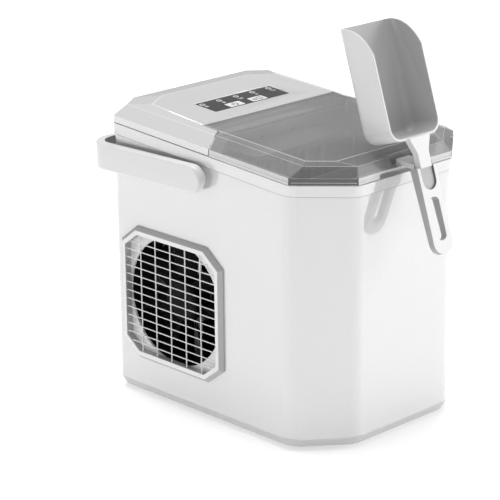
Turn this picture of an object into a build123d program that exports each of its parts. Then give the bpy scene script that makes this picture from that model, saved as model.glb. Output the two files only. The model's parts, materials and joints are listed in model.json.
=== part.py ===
from build123d import *
import math
import os

# Countertop ice maker. Millimetres, +Z up, front face towards -Y, vent side towards -X.
# The origin is on the table, in the middle of the body.

# Body outline in plan: a rectangle with chamfered corners
BODY_WIDTH = 219.6
BODY_DEPTH = 285.6
FRONT_CHAMFER_X = 48.0
FRONT_CHAMFER_Y = 39.0
REAR_CHAMFER_X = 20.0
REAR_CHAMFER_Y = 13.0
CORNER_RADIUS = 9.0
WALL = 2.5

# Heights
FOOT_HEIGHT = 3.0
FOOT_RADIUS = 9.0
FOOT_X = 78.0
FOOT_Y = 96.0
BASE_BAND = 7.7
BASE_DRAW_IN = 7.0
BASE_LIP = 5.0
SEAM = 0.6
FIT = 0.3
RUNNING_FIT = 0.06

# Rim: a collar on the body whose top slopes up to the rear
RIM_HEIGHT_MID = 260.7
TOP_SLOPE = 3.55
RIM_BAND = 10.8
RIM_PROUD = 1.2
RIM_SKIRT = 5.0
RIM_FLANGE = 13.0
RIM_PLATE = 3.0
RIM_BRIDGE_Y = 31.0
RIM_BRIDGE = 9.0

# Crown: the faceted form shared by the rear cover and the lid, measured above the rim
CROWN_SETBACK = 0.6
CROWN_BAND = 7.0
CREASE_RISE = 8.5
STEEP_SIDE = 15.9
STEEP_FRONT = 6.9
STEEP_REAR = 2.4
STEEP_FRONT_CHAMFER = 8.5
STEEP_REAR_CHAMFER = 10.2
SHALLOW_RISE = 2.0
SHALLOW_SIDE = 7.5
SHALLOW_FRONT = 17.7
SHALLOW_REAR = 11.5
SHALLOW_FRONT_CHAMFER = 8.6
SHALLOW_REAR_CHAMFER = 15.7
COVER_WALL = 2.5
COVER_SHADOW_GAP = 0.8
COVER_SHADOW_DEPTH = 1.5
LID_WALL = 2.4
LID_LIP_HEIGHT = 2.6
LID_LIP_PROUD = 0.4

# Split between the rear cover and the lid
LID_REAR_Y = 31.0
ARM_WIDTH = 23.4
ARM_FRONT_INNER_Y = 11.0
ARM_FRONT_OUTER_Y = -1.0
ARM_TIP_LENGTH = 15.0
LID_GAP = 0.8
PANEL_EXTRA_SLOPE = 0.92

# Lid hinge
HINGE_Y = 19.0
HINGE_RISE = 11.0
HINGE_PIN_RADIUS = 2.5
HINGE_BOSS_RADIUS = 5.2
HINGE_EAR = 3.0
HINGE_PIN_LENGTH = 7.0

# Lid front: finger notch in the flange and the pocket that takes the scoop holder
NOTCH_WIDTH = 70.0
NOTCH_RISE = 4.6
POCKET_WIDTH = 40.0
POCKET_DEPTH = 11.0
POCKET_FLOOR_RISE = 6.6
HOOK_SLOT_WIDTH = 20.0
HOOK_SLOT_LENGTH = 5.0

# Control panel on the rear cover
FILM_WIDTH = 100.0
FILM_DEPTH = 30.0
FILM_Y = 68.0
FILM_THICK = 0.6
FILM_RECESS = 0.8
BUTTON_WIDTH = 19.0
BUTTON_DEPTH = 10.5
BUTTON_Y = 61.5
BUTTON_XS = (-17.0, 13.0)
BUTTON_HEIGHT = 2.6
BUTTON_TRAVEL = 0.6
BUTTON_CORNER = 1.2
LED_XS = (-44.0, -22.0, 0.0, 22.0, 44.0)
LED_Y = 78.0
LED_RADIUS = 1.9
BOARD_THICK = 1.6
BOARD_DROP = 7.0
BOARD_WIDTH = 108.0
BOARD_DEPTH = 42.0
BOARD_POST_RADIUS = 3.0

# Bail handle, lying level round the rear
HANDLE_PIVOT_Y = 12.0
HANDLE_PIVOT_DROP = 21.3
HANDLE_DROOP = 1.4
HANDLE_HEIGHT = 25.8
HANDLE_THICK = 8.5
HANDLE_GAP = 4.7
HANDLE_REAR_GAP = 6.4
HANDLE_CORNER = 26.0
HANDLE_EDGE = 2.0
PIVOT_BOSS_RADIUS = 9.5
PIVOT_PIN_RADIUS = 4.0
PIVOT_PIN_REACH = 6.0
PIVOT_NUT_RADIUS = 8.0
PIVOT_NUT_THICK = 4.0

# Vent grille on the -X side
VENT_REAR_MARGIN = 8.8
VENT_Z = 106.0
VENT_LENGTH = 140.0
VENT_HEIGHT = 134.0
VENT_CHAMFER_Y = 22.0
VENT_CHAMFER_Z = 17.0
VENT_BAND = 8.0
VENT_PROUD = 5.0
VENT_BEVEL = 3.5
VENT_SPIGOT = 2.0
GRID_COLUMNS = 6
GRID_ROWS = 14
GRID_BAR = 1.2
GRID_DEPTH = 2.2
GRID_SET_IN = 1.2

# Fan behind the grille
FAN_OPENING_RADIUS = 62.5
FAN_RING_WALL = 2.0
FAN_RING_LENGTH = 29.0
FAN_RADIUS = 58.0
FAN_HUB_RADIUS = 21.0
FAN_HUB_LENGTH = 20.0
FAN_FRONT_GAP = 6.5
FAN_BLADES = 7
FAN_BLADE_THICK = 2.0
FAN_BLADE_CHORD = 22.0
FAN_PITCH = 38.0
FAN_SHAFT_RADIUS = 2.5
FAN_MOTOR_RADIUS = 19.0
FAN_MOTOR_LENGTH = 20.0
FAN_BRACKET_THICK = 2.5
FAN_BRACKET_WIDTH = 12.0

# Condenser
CONDENSER_WALL_GAP = 56.3
CONDENSER_THICK = 22.0
CONDENSER_LENGTH = 116.0
CONDENSER_HEIGHT = 122.0
CONDENSER_FINS = 15
CONDENSER_FIN = 0.8
CONDENSER_TUBE_RADIUS = 3.5
CONDENSER_ROWS = 5
CONDENSER_PLATE = 1.6

# Compressor
COMPRESSOR_SIDE_GAP = 11.3
COMPRESSOR_REAR_GAP = 16.3
COMPRESSOR_RADIUS = 44.0
COMPRESSOR_HEIGHT = 126.0
COMPRESSOR_CROWN = 20.0
COMPRESSOR_SEAM = 2.0
TERMINAL_DEPTH = 16.0
TERMINAL_WIDTH = 34.0
TERMINAL_HEIGHT = 40.0
COMPRESSOR_FOOT_PLATE = 3.0
COMPRESSOR_FOOT_SPAN = 84.0
GROMMET_RADIUS = 8.0
GROMMET_HEIGHT = 14.0

# Tub, basket and freezing unit
TUB_WALL = 2.2
TUB_CLEARANCE = 0.4
TUB_FLOOR_Z = 50.0
TUB_VENT_GAP = 7.0
TUB_LEG = 16.0
TUB_LEG_NEAR = 34.0
TUB_LEG_FAR = 64.0
TUB_CORNER = 6.0
SHELF_DROP = 36.0
SHELF_REACH = 28.0
TUB_FLANGE = 5.0
TUB_FLANGE_THICK = 1.6
RAIL_X = 60.0
RAIL_THICK = 4.0
INSULATION = 7.6
BASKET_FLOOR_Z = 92.0
BASKET_TOP_DROP = 14.0
BASKET_WALL = 2.0
BASKET_SIDE_GAP = 5.5
BASKET_REAR_GAP = 8.0
BASKET_FRONT_GAP = 4.5
BASKET_SLOT_WIDTH = 4.0
BASKET_SLOTS = 7
BASKET_SLOT_FRONT = 32.8
BASKET_SLOT_REAR = 24.0
BASKET_GRIP_WIDTH = 60.0
BASKET_GRIP_HEIGHT = 18.0
TRAY_AXIS_DROP = 38.7
TRAY_REAR_GAP = 26.0
TRAY_RADIUS = 26.0
TRAY_WALL = 2.0
TRAY_SIDE_ROOM = 33.4
TRAY_SHAFT_RADIUS = 4.0
EVAPORATOR_RISE = 28.0
EVAPORATOR_THICK = 5.0
EVAPORATOR_DEPTH = 44.0
FINGER_RADIUS = 4.0
FINGER_LENGTH = 45.0
FINGER_PITCH = 22.0
FINGER_ROW = 7.0
CHEEK_GAP = 2.5
CHEEK_THICK = 3.0
CHEEK_DEPTH = 34.0
MOTOR_LENGTH = 20.0
MOTOR_DEPTH = 32.0
MOTOR_HEIGHT = 36.0
SENSOR_SIZE = 12.0
SENSOR_THICK = 3.4
SENSOR_REAR_GAP = 18.0
SENSOR_RISE = 14.0

# Water circuit
PUMP_SIDE_GAP = 10.3
PUMP_REAR_GAP = 36.0
PUMP_RADIUS = 17.0
PUMP_HEIGHT = 40.0
HOSE_RADIUS = 4.0
HOSE_BORE = 2.5
INTAKE_Z = 58.0
HOSE_RISE = 18.0
DRAIN_Y = -70.0
DRAIN_Z = 62.0
DRAIN_BORE = 5.0
DRAIN_WALL = 2.5
DRAIN_FLANGE_RADIUS = 13.0

# Refrigerant circuit
PIPE_RADIUS = 2.5
PIPE_BEND = 5.5
PIPE_RISE = 18.0
PIPE_STUB = 4.0
DISCHARGE_OFFSET = 14.0
DISCHARGE_REACH = 12.0
DRIER_RADIUS = 8.0
DRIER_LENGTH = 70.0
DRIER_GAP = 9.0
DRIER_REAR_GAP = 34.0
VALVE_SIZE = 26.0
VALVE_X = 6.0
VALVE_REAR_GAP = 12.3
VALVE_PLATE_WIDTH = 12.0
VALVE_PLATE_HEIGHT = 16.0
VALVE_Z = 120.0

# Rear: mains inlet, power board and air slots
INLET_SIDE_GAP = 17.8
INLET_Z = 40.0
INLET_WIDTH = 28.0
INLET_HEIGHT = 20.0
INLET_FLANGE = 6.0
INLET_DEPTH = 20.0
INLET_WALL = 2.0
INLET_PROUD = 1.5
INLET_PIN_WIDTH = 2.0
INLET_PIN_HEIGHT = 4.0
INLET_PIN_PITCH = 7.0
INLET_PIN_SINK = 6.0
POWER_BOARD_WIDTH = 60.0
POWER_BOARD_HEIGHT = 66.0
POWER_BOARD_X = -45.0
POWER_BOARD_GAP = 1.5
POWER_BOARD_POST = 8.0
POWER_BOARD_EDGE = 4.0
TRANSFORMER_WIDTH = 28.0
TRANSFORMER_DEPTH = 24.0
TRANSFORMER_X = -6.0
TRANSFORMER_RISE = 10.0
CAPACITOR_RADIUS = 6.0
CAPACITOR_LENGTH = 16.0
CAPACITOR_X = 18.0
SLOT_COUNT = 9
SLOT_PITCH = 9.0
SLOT_HEIGHT = 4.0
SLOT_LENGTH = 90.0
SLOT_Z = 106.0
REAR_SLOT_LENGTH = 100.0
REAR_SLOT_COUNT = 5
REAR_SLOT_DROP = 64.7

# Scoop and its holder
SCOOP_LEAN = 21.5
SCOOP_X = 3.0
SCOOP_WIDTH = 66.0
SCOOP_LENGTH = 109.0
SCOOP_DEPTH = 37.0
SCOOP_WALL = 2.0
SCOOP_CORNER = 13.0
SCOOP_MOUTH = 34.0
NECK_TOP_WIDTH = 28.0
NECK_WIDTH = 15.0
NECK_THICK = 7.0
NECK_LENGTH = 27.0
NECK_FLARE = 14.0
TONGUE_WIDTH = 17.0
TONGUE_LENGTH = 21.0
TONGUE_SET_IN = 2.0
HOLDER_WIDTH = 25.0
HOLDER_LENGTH = 80.0
HOLDER_THICK = 9.5
HOLDER_POCKET_BACK = 2.5
HOLDER_BACK_RISE = 5.0
HOLDER_SLOT_WIDTH = 9.0
HOLDER_SLOT_LENGTH = 40.0
HOLDER_SLOT_FROM_BOTTOM = 12.0
HOLDER_TOP_OUT = 21.0
HOLDER_TOP_RISE = 10.5
HOOK_ARM_WIDTH = 18.0
HOOK_ARM_HEIGHT = 4.8
HOOK_TIP = 3.0
HOOK_TIP_DROP = 4.0

# Values worked out from the sizes above
HALF_WIDTH = BODY_WIDTH / 2
HALF_DEPTH = BODY_DEPTH / 2
BASE_TOP = FOOT_HEIGHT + BASE_BAND
BASE_FLOOR = FOOT_HEIGHT + WALL
RIM_HALF_WIDTH = HALF_WIDTH + RIM_PROUD
RIM_HALF_DEPTH = HALF_DEPTH + RIM_PROUD
CREASE = CROWN_BAND + CREASE_RISE
FLAT = CREASE + SHALLOW_RISE
CROWN_HALF_WIDTH = RIM_HALF_WIDTH - CROWN_SETBACK
CROWN_HALF_DEPTH = RIM_HALF_DEPTH - CROWN_SETBACK
TALL = 400.0
TOP = Pos(0, 0, RIM_HEIGHT_MID) * Rot(TOP_SLOPE, 0, 0)
PANEL = TOP * Pos(0, LID_REAR_Y, FLAT) * Rot(PANEL_EXTRA_SLOPE, 0, 0)
INNER_WALL_X = HALF_WIDTH - WALL
INNER_WALL_Y = HALF_DEPTH - WALL
CENTRED_FLOOR = (Align.CENTER, Align.CENTER, Align.MIN)
ARM_INNER_X = CROWN_HALF_WIDTH - ARM_WIDTH
HANDLE_PIVOT_Z = RIM_HEIGHT_MID - HANDLE_PIVOT_DROP
VENT_Y = HALF_DEPTH - REAR_CHAMFER_Y - VENT_REAR_MARGIN - VENT_LENGTH / 2
CONDENSER_X = -INNER_WALL_X + CONDENSER_WALL_GAP + CONDENSER_THICK / 2
COMPRESSOR_X = INNER_WALL_X - COMPRESSOR_RADIUS - COMPRESSOR_SEAM - COMPRESSOR_SIDE_GAP
COMPRESSOR_Y = INNER_WALL_Y - COMPRESSOR_RADIUS - COMPRESSOR_SEAM - COMPRESSOR_REAR_GAP
TUB_HALF_WIDTH = RIM_HALF_WIDTH - RIM_FLANGE - TUB_CLEARANCE - TUB_WALL
TUB_REAR_Y = VENT_Y - VENT_LENGTH / 2 - TUB_VENT_GAP
TRAY_Y = TUB_REAR_Y + TRAY_REAR_GAP
SHELF_REAR_Y = TRAY_Y + SHELF_REACH
SENSOR_Y = TUB_REAR_Y - SENSOR_REAR_GAP
TRAY_AXIS_Z = RIM_HEIGHT_MID - TRAY_AXIS_DROP
TRAY_HALF_LENGTH = TUB_HALF_WIDTH - TRAY_SIDE_ROOM
EVAPORATOR_Z = TRAY_AXIS_Z + EVAPORATOR_RISE
HOSE_TOP_Z = TRAY_AXIS_Z + HOSE_RISE
SHELF_Z = TRAY_AXIS_Z - SHELF_DROP
SENSOR_Z = SHELF_Z + SENSOR_RISE
BASKET_TOP_Z = SHELF_Z - BASKET_TOP_DROP
PUMP_Y = TUB_REAR_Y + PUMP_REAR_GAP
DRIER_Y = TUB_REAR_Y + DRIER_REAR_GAP
PUMP_X = INNER_WALL_X - PUMP_RADIUS - PUMP_SIDE_GAP
DRIER_X = CONDENSER_X + CONDENSER_THICK / 2 + DRIER_RADIUS + DRIER_GAP
VALVE_Y = INNER_WALL_Y - VALVE_REAR_GAP
INLET_X = HALF_WIDTH - REAR_CHAMFER_X - INLET_SIDE_GAP
REAR_SLOT_Z = RIM_HEIGHT_MID - REAR_SLOT_DROP


def save(node, shape):
    """Write one named piece."""
    export_step(shape, os.path.join("parts", node + ".step"))


def corners(half_width, half_depth, front_x, front_y, rear_x, rear_y):
    """Corners of a rectangle with chamfered corners, in order from the front left."""
    return [
        (-half_width, -half_depth + front_y),
        (-half_width + front_x, -half_depth),
        (half_width - front_x, -half_depth),
        (half_width, -half_depth + front_y),
        (half_width, half_depth - rear_y),
        (half_width - rear_x, half_depth),
        (-half_width + rear_x, half_depth),
        (-half_width, half_depth - rear_y),
    ]


def outline(grow=0.0, radius=CORNER_RADIUS):
    """The body's plan outline, grown outwards, with rounded corners."""
    points = corners(HALF_WIDTH, HALF_DEPTH, FRONT_CHAMFER_X, FRONT_CHAMFER_Y, REAR_CHAMFER_X, REAR_CHAMFER_Y)
    face = make_face(Polyline(*points, close=True))
    if grow:
        face = offset(face, amount=grow, kind=Kind.INTERSECTION)
    if radius > 0:
        face = fillet(face.vertices(), radius)
    return face


def prism(face, low, high):
    """A plan face raised between two heights."""
    return extrude(Pos(0, 0, low) * face, amount=high - low)


def block(x0, x1, y0, y1, z0, z1):
    """A box given by its limits."""
    return Pos((x0 + x1) / 2, (y0 + y1) / 2, (z0 + z1) / 2) * Box(x1 - x0, y1 - y0, z1 - z0)


def rod(start, direction, radius, length):
    """A round rod from a start point along a direction."""
    return Plane(origin=start, z_dir=direction) * Cylinder(radius, length, align=CENTRED_FLOOR)


def sloped_slab(low, high):
    """The space between two heights above the sloping rim."""
    return TOP * block(-TALL, TALL, -TALL, TALL, low, high)


def pipe(points, radius, bend, bore=0.0):
    """A round pipe on straight runs joined by bends."""
    path = FilletPolyline(*points, radius=bend)
    start = Plane(origin=path @ 0, z_dir=path % 0)
    section = start * Circle(radius)
    if bore > 0:
        section -= start * Circle(bore)
    return sweep(section, path=path)


def both_sides(shape):
    """A shape and its mirror image on the other side."""
    return Compound([shape, mirror(shape, about=Plane.YZ)])


# Crown: outer form of the cover and the lid
def crown_points():
    """Corners of the crown's plan outline."""
    return corners(CROWN_HALF_WIDTH, CROWN_HALF_DEPTH, FRONT_CHAMFER_X, FRONT_CHAMFER_Y, REAR_CHAMFER_X, REAR_CHAMFER_Y)


def crown_plan(grow):
    """The crown's plan outline, moved out by grow and rounded at its corners."""
    face = make_face(Polyline(*crown_points(), close=True))
    if grow:
        face = offset(face, amount=grow, kind=Kind.INTERSECTION)
    return fillet(face.vertices(), CORNER_RADIUS / 2)


def crown(shrink, slope_top):
    """The faceted top, with every face moved in by shrink; slope_top tilts the flat for the cover."""
    points = crown_points()
    steep = [STEEP_FRONT_CHAMFER, STEEP_FRONT, STEEP_FRONT_CHAMFER, STEEP_SIDE,
             STEEP_REAR_CHAMFER, STEEP_REAR, STEEP_REAR_CHAMFER, STEEP_SIDE]
    shallow = [SHALLOW_FRONT_CHAMFER, SHALLOW_FRONT, SHALLOW_FRONT_CHAMFER, SHALLOW_SIDE,
               SHALLOW_REAR_CHAMFER, SHALLOW_REAR, SHALLOW_REAR_CHAMFER, SHALLOW_SIDE]
    form = prism(crown_plan(-shrink), -RIM_BAND, FLAT + CREASE)
    for index, start in enumerate(points):
        end = points[(index + 1) % len(points)]
        along = Vector(end[0] - start[0], end[1] - start[1], 0).normalized()
        inward = Vector(-along.Y, along.X, 0)
        for rise, inset, height, moved in (
            (CREASE_RISE, steep[index], CROWN_BAND, 0.0),
            (SHALLOW_RISE, shallow[index], CREASE, steep[index]),
        ):
            normal = (Vector(0, 0, 1) * inset - inward * rise).normalized()
            origin = Vector(start[0], start[1], height) + inward * moved - normal * shrink
            form = split(form, bisect_by=Plane(origin=origin, z_dir=normal), keep=Keep.BOTTOM)
    extra = PANEL_EXTRA_SLOPE if slope_top else 0.0
    flat = Plane(Pos(0, LID_REAR_Y, FLAT) * Rot(extra, 0, 0) * Pos(0, 0, -shrink))
    return split(form, bisect_by=flat, keep=Keep.BOTTOM)


def lid_zone(gap):
    """Plan area of the lid: the front of the crown and a tongue between the cover's two arms."""
    slant = (ARM_FRONT_INNER_Y - ARM_FRONT_OUTER_Y) / (CROWN_HALF_WIDTH - ARM_INNER_X)
    far = TALL / 2
    outer_y = ARM_FRONT_INNER_Y - slant * (far - ARM_INNER_X) - gap
    inner_x = ARM_INNER_X - gap
    right = [(far, -far), (far, outer_y), (inner_x, ARM_FRONT_INNER_Y - gap), (inner_x, LID_REAR_Y - gap)]
    left = [(-x, y) for x, y in reversed(right)]
    return make_face(Polyline(*right, *left, close=True))


# Base pan
def base_pan():
    low = outline(-BASE_DRAW_IN)
    band = loft([Pos(0, 0, FOOT_HEIGHT) * low, Pos(0, 0, BASE_TOP) * outline()], ruled=True)
    band -= prism(outline(-BASE_DRAW_IN - WALL), BASE_FLOOR, BASE_TOP + 1)
    lip = prism(outline(-WALL - FIT), BASE_FLOOR, BASE_TOP + BASE_LIP)
    lip -= prism(outline(-WALL - FIT - BASE_DRAW_IN), BASE_FLOOR, BASE_TOP + BASE_LIP)
    return band + lip


def foot(x, y):
    profile = make_face(Polyline((0, FOOT_HEIGHT), (FOOT_RADIUS, FOOT_HEIGHT), (FOOT_RADIUS - 1, 0),
                                 (FOOT_RADIUS / 2, 0), (FOOT_RADIUS / 2, FOOT_HEIGHT / 2),
                                 (0, FOOT_HEIGHT / 2), close=True))
    return Pos(x, y, 0) * revolve(Plane.XZ * profile, Axis.Z)


# Outer body
def vent_octagon(grow):
    """Vent outline, drawn in the plane of the side wall with its middle at the vent's middle."""
    half_y = VENT_LENGTH / 2
    half_z = VENT_HEIGHT / 2
    points = corners(half_y, half_z, VENT_CHAMFER_Y, VENT_CHAMFER_Z, VENT_CHAMFER_Y, VENT_CHAMFER_Z)
    face = make_face(Polyline(*points, close=True))
    if grow:
        face = offset(face, amount=grow, kind=Kind.INTERSECTION)
    return face


def vent_plane(x):
    """Plane parallel to the side wall at a given x, facing outwards, centred on the vent."""
    return Plane(origin=(x, VENT_Y, VENT_Z), x_dir=(0, -1, 0), z_dir=(-1, 0, 0))


def body_shell():
    shell = prism(outline(), BASE_TOP, RIM_HEIGHT_MID + TALL / 4) & sloped_slab(-TALL, -RIM_BAND)
    shell -= prism(outline(-WALL), 0, TALL)
    bottom = shell.faces().sort_by(Axis.Z)[0].outer_wire().edges()
    shell = chamfer(bottom, SEAM)
    shell -= extrude(vent_plane(-HALF_WIDTH - 1) * vent_octagon(-VENT_BAND + VENT_SPIGOT + FIT), amount=-WALL - 2)
    for side in (-1, 1):
        shell -= rod((side * (HALF_WIDTH + 1), HANDLE_PIVOT_Y, HANDLE_PIVOT_Z), (-side, 0, 0),
                     PIVOT_PIN_RADIUS, WALL + 2)
    slot = Plane.YZ * SlotOverall(SLOT_LENGTH, SLOT_HEIGHT)
    rear_slot = Plane.XZ * SlotOverall(REAR_SLOT_LENGTH, SLOT_HEIGHT)
    for row in range(SLOT_COUNT):
        z = SLOT_Z + (row - (SLOT_COUNT - 1) / 2) * SLOT_PITCH
        shell -= extrude(Pos(HALF_WIDTH - 2 * WALL, VENT_Y, z) * slot, amount=3 * WALL)
    for row in range(REAR_SLOT_COUNT):
        z = REAR_SLOT_Z + (row - (REAR_SLOT_COUNT - 1) / 2) * SLOT_PITCH
        shell -= extrude(Pos(0, HALF_DEPTH + WALL, z) * rear_slot, amount=3 * WALL)
    shell -= rod((HALF_WIDTH + 1, DRAIN_Y, DRAIN_Z), (-1, 0, 0), DRAIN_BORE + DRAIN_WALL + FIT, WALL + 2)
    shell -= block(INLET_X - INLET_WIDTH / 2 - FIT, INLET_X + INLET_WIDTH / 2 + FIT, INNER_WALL_Y - 1, HALF_DEPTH + 1,
                   INLET_Z - INLET_HEIGHT / 2 - FIT, INLET_Z + INLET_HEIGHT / 2 + FIT)
    return shell


def top_rim():
    ring = prism(outline(RIM_PROUD), 0, TALL) & sloped_slab(-RIM_BAND, 0)
    ring -= prism(outline(RIM_PROUD - RIM_SKIRT), 0, TALL) & sloped_slab(-TALL, -RIM_PLATE)
    opening = outline(RIM_PROUD - RIM_FLANGE)
    bridge = block(-TALL, TALL, RIM_BRIDGE_Y, RIM_BRIDGE_Y + RIM_BRIDGE, 0, TALL)
    ring -= prism(opening, 0, TALL) - bridge
    seat = ring.faces().sort_by(Axis.Z)[0].outer_wire().edges()
    return chamfer(seat, SEAM)


# Rear cover, panel and lid
def panel_box(width, depth, low, high, x=0.0, y=0.0):
    """A box on the control panel: x and y are plan places, heights are measured from its surface."""
    middle = (low + high) / 2
    return PANEL * Pos(x, y - LID_REAR_Y, middle) * Box(width, depth, high - low)


def panel_rod(radius, low, high, x, y):
    return PANEL * Pos(x, y - LID_REAR_Y, low) * Cylinder(radius, high - low, align=CENTRED_FLOOR)


def rear_cover():
    zone = prism(lid_zone(0), -RIM_BAND, TALL)
    hollow_zone = prism(offset(lid_zone(0), amount=COVER_WALL, kind=Kind.INTERSECTION), -RIM_BAND, TALL)
    skin = crown(0, True) & block(-TALL, TALL, -TALL, TALL, 0, TALL)
    cover = skin - crown(COVER_WALL, True) - zone
    walls = (skin & hollow_zone) - zone
    cover += walls & block(-TALL, TALL, -TALL, LID_REAR_Y + COVER_WALL, TUB_FLANGE_THICK + FIT, TALL)
    cover += arm_tips()
    band = make_face(Polyline(*crown_points(), close=True))
    inner_band = offset(band, amount=-COVER_SHADOW_DEPTH, kind=Kind.INTERSECTION)
    cover -= prism(band - inner_band, 0, COVER_SHADOW_GAP)
    sweep_room = rod((-ARM_INNER_X, HINGE_Y, HINGE_RISE), (1, 0, 0), lid_sweep_radius() + LID_GAP, 2 * ARM_INNER_X)
    cover -= sweep_room
    for side in (-1, 1):
        cover -= rod((side * (ARM_INNER_X - 1), HINGE_Y, HINGE_RISE), (side, 0, 0), HINGE_PIN_RADIUS, COVER_WALL + 2)
    cover = TOP * cover
    cover -= panel_box(FILM_WIDTH + 2 * FIT, FILM_DEPTH + 2 * FIT, -FILM_RECESS - FILM_THICK, 1, 0, FILM_Y)
    for x in BUTTON_XS:
        cover -= panel_box(BUTTON_WIDTH + 2 * FIT, BUTTON_DEPTH + 2 * FIT, -2 * COVER_WALL, 1, x, BUTTON_Y)
    for x in LED_XS:
        cover -= panel_rod(LED_RADIUS + FIT, -2 * COVER_WALL, 1, x, LED_Y)
    for x, y in board_posts():
        cover += panel_rod(BOARD_POST_RADIUS, -BOARD_DROP, -COVER_WALL / 2, x, y) - panel_box(
            FILM_WIDTH + 2 * FIT, FILM_DEPTH + 2 * FIT, -FILM_RECESS - FILM_THICK, 1, 0, FILM_Y)
    return cover


def arm_tips():
    """Hollow ends of the cover's two arms, which reach forward under the lid's clear skin."""
    under_lid = LID_WALL + LID_GAP
    full = crown(under_lid, False) - crown(under_lid + COVER_WALL, False)
    full += crown(under_lid, False) & tip_area(ARM_TIP_LENGTH - COVER_WALL, ARM_TIP_LENGTH)
    return full & tip_area(-COVER_WALL / 2, ARM_TIP_LENGTH) & block(
        -TALL, TALL, -TALL, TALL, TUB_FLANGE_THICK + FIT, TALL)


def tip_area(near, far):
    """Two upright slabs along the slanted ends of the arms, between two distances in front of them."""
    slant = (ARM_FRONT_INNER_Y - ARM_FRONT_OUTER_Y) / (CROWN_HALF_WIDTH - ARM_INNER_X)
    wide = CROWN_HALF_WIDTH
    outer_y = ARM_FRONT_INNER_Y - slant * (wide - ARM_INNER_X)
    slab = make_face(Polyline((ARM_INNER_X, ARM_FRONT_INNER_Y - near), (ARM_INNER_X, ARM_FRONT_INNER_Y - far),
                              (wide, outer_y - far), (wide, outer_y - near), close=True))
    return prism(slab, 0, TALL) + mirror(prism(slab, 0, TALL), about=Plane.YZ)


def board_posts():
    """Places of the four posts that hold the control board."""
    x = BOARD_WIDTH / 2 - BOARD_POST_RADIUS
    y = BOARD_DEPTH / 2 - BOARD_POST_RADIUS
    return [(sx * x, FILM_Y + sy * y) for sx in (-1, 1) for sy in (-1, 1)]


def lid_sweep_radius():
    """Distance from the hinge axis to the furthest corner of the lid's tongue."""
    return math.hypot(LID_REAR_Y - LID_GAP - HINGE_Y, FLAT - HINGE_RISE)


def control_film():
    film = panel_box(FILM_WIDTH, FILM_DEPTH, -FILM_RECESS - FILM_THICK, -FILM_RECESS, 0, FILM_Y)
    for x in BUTTON_XS:
        film -= panel_box(BUTTON_WIDTH + 2 * FIT, BUTTON_DEPTH + 2 * FIT, -COVER_WALL, 0, x, BUTTON_Y)
    for x in LED_XS:
        film -= panel_rod(LED_RADIUS + FIT, -COVER_WALL, 0, x, LED_Y)
    return film


def button(x):
    top = -FILM_RECESS
    cap = panel_box(BUTTON_WIDTH, BUTTON_DEPTH, top - BUTTON_HEIGHT, top, x, BUTTON_Y)
    uprights = [edge for edge in cap.edges() if abs(edge.length - BUTTON_HEIGHT) < 0.01]
    return fillet(uprights, BUTTON_CORNER)


def led_lenses():
    return Compound([panel_rod(LED_RADIUS, -BOARD_DROP, -FILM_RECESS, x, LED_Y) for x in LED_XS])


def control_board():
    board = panel_box(BOARD_WIDTH, BOARD_DEPTH, -BOARD_DROP - BOARD_THICK, -BOARD_DROP, 0, FILM_Y)
    switch_top = -FILM_RECESS - BUTTON_HEIGHT - BUTTON_TRAVEL - FIT / 2
    for x in BUTTON_XS:
        board += panel_box(6, 6, -BOARD_DROP, switch_top, x, BUTTON_Y)
    board += panel_box(30, 12, -BOARD_DROP - BOARD_THICK - 4, -BOARD_DROP - BOARD_THICK, 10, FILM_Y)
    return board


def lid():
    zone = prism(lid_zone(LID_GAP), -RIM_BAND, TALL)
    above = block(-TALL, TALL, -TALL, TALL, SEAM, TALL)
    lip = prism(crown_plan(LID_LIP_PROUD), 0, SEAM + LID_LIP_HEIGHT)
    shell = ((crown(0, False) + lip) - crown(LID_WALL, False)) & above & zone
    front = -CROWN_HALF_DEPTH
    notch = Plane.XZ * Pos(0, SEAM) * RectangleRounded(NOTCH_WIDTH, 2 * NOTCH_RISE, NOTCH_RISE * 0.7)
    shell -= extrude(Pos(0, front - 1, 0) * notch, amount=-2 * LID_WALL - 1)
    half_pocket = POCKET_WIDTH / 2
    pocket_back = front + POCKET_DEPTH
    room = block(SCOOP_X - half_pocket, SCOOP_X + half_pocket, front - 1, pocket_back, POCKET_FLOOR_RISE, FLAT)
    walls = block(SCOOP_X - half_pocket - LID_WALL, SCOOP_X + half_pocket + LID_WALL, front,
                  pocket_back + LID_WALL, POCKET_FLOOR_RISE - LID_WALL / 2, FLAT)
    shell += walls & crown(0, False)
    shell -= room
    slot_y = front + POCKET_DEPTH - HOOK_SLOT_LENGTH
    half_slot = HOOK_SLOT_WIDTH / 2
    shell -= block(SCOOP_X - half_slot, SCOOP_X + half_slot, slot_y - HOOK_SLOT_LENGTH / 2,
                   slot_y + HOOK_SLOT_LENGTH / 2, 0, POCKET_FLOOR_RISE + 1)
    for side in (-1, 1):
        shell += hinge_ear(side)
        shell -= rod((side * (ARM_INNER_X + 1), HINGE_Y, HINGE_RISE), (-side, 0, 0),
                     HINGE_PIN_RADIUS + RUNNING_FIT, 2 * HINGE_PIN_LENGTH)
    return TOP * shell


def hinge_ear(side):
    """A rounded ear under the lid's tongue that turns on the hinge pin."""
    outer = ARM_INNER_X - LID_GAP
    round_end = rod((side * outer, HINGE_Y, HINGE_RISE), (-side, 0, 0), HINGE_BOSS_RADIUS, HINGE_EAR)
    web = block(outer - HINGE_EAR, outer, HINGE_Y - HINGE_BOSS_RADIUS, HINGE_Y + HINGE_BOSS_RADIUS,
                HINGE_RISE, FLAT - LID_WALL / 2)
    if side < 0:
        web = mirror(web, about=Plane.YZ)
    return (round_end + web) & crown(0, False)


def lid_hinge_pins():
    pins = []
    for side in (-1, 1):
        start = (side * (ARM_INNER_X + COVER_WALL), HINGE_Y, HINGE_RISE)
        pins.append(TOP * rod(start, (-side, 0, 0), HINGE_PIN_RADIUS, HINGE_PIN_LENGTH))
    return Compound(pins)


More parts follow.
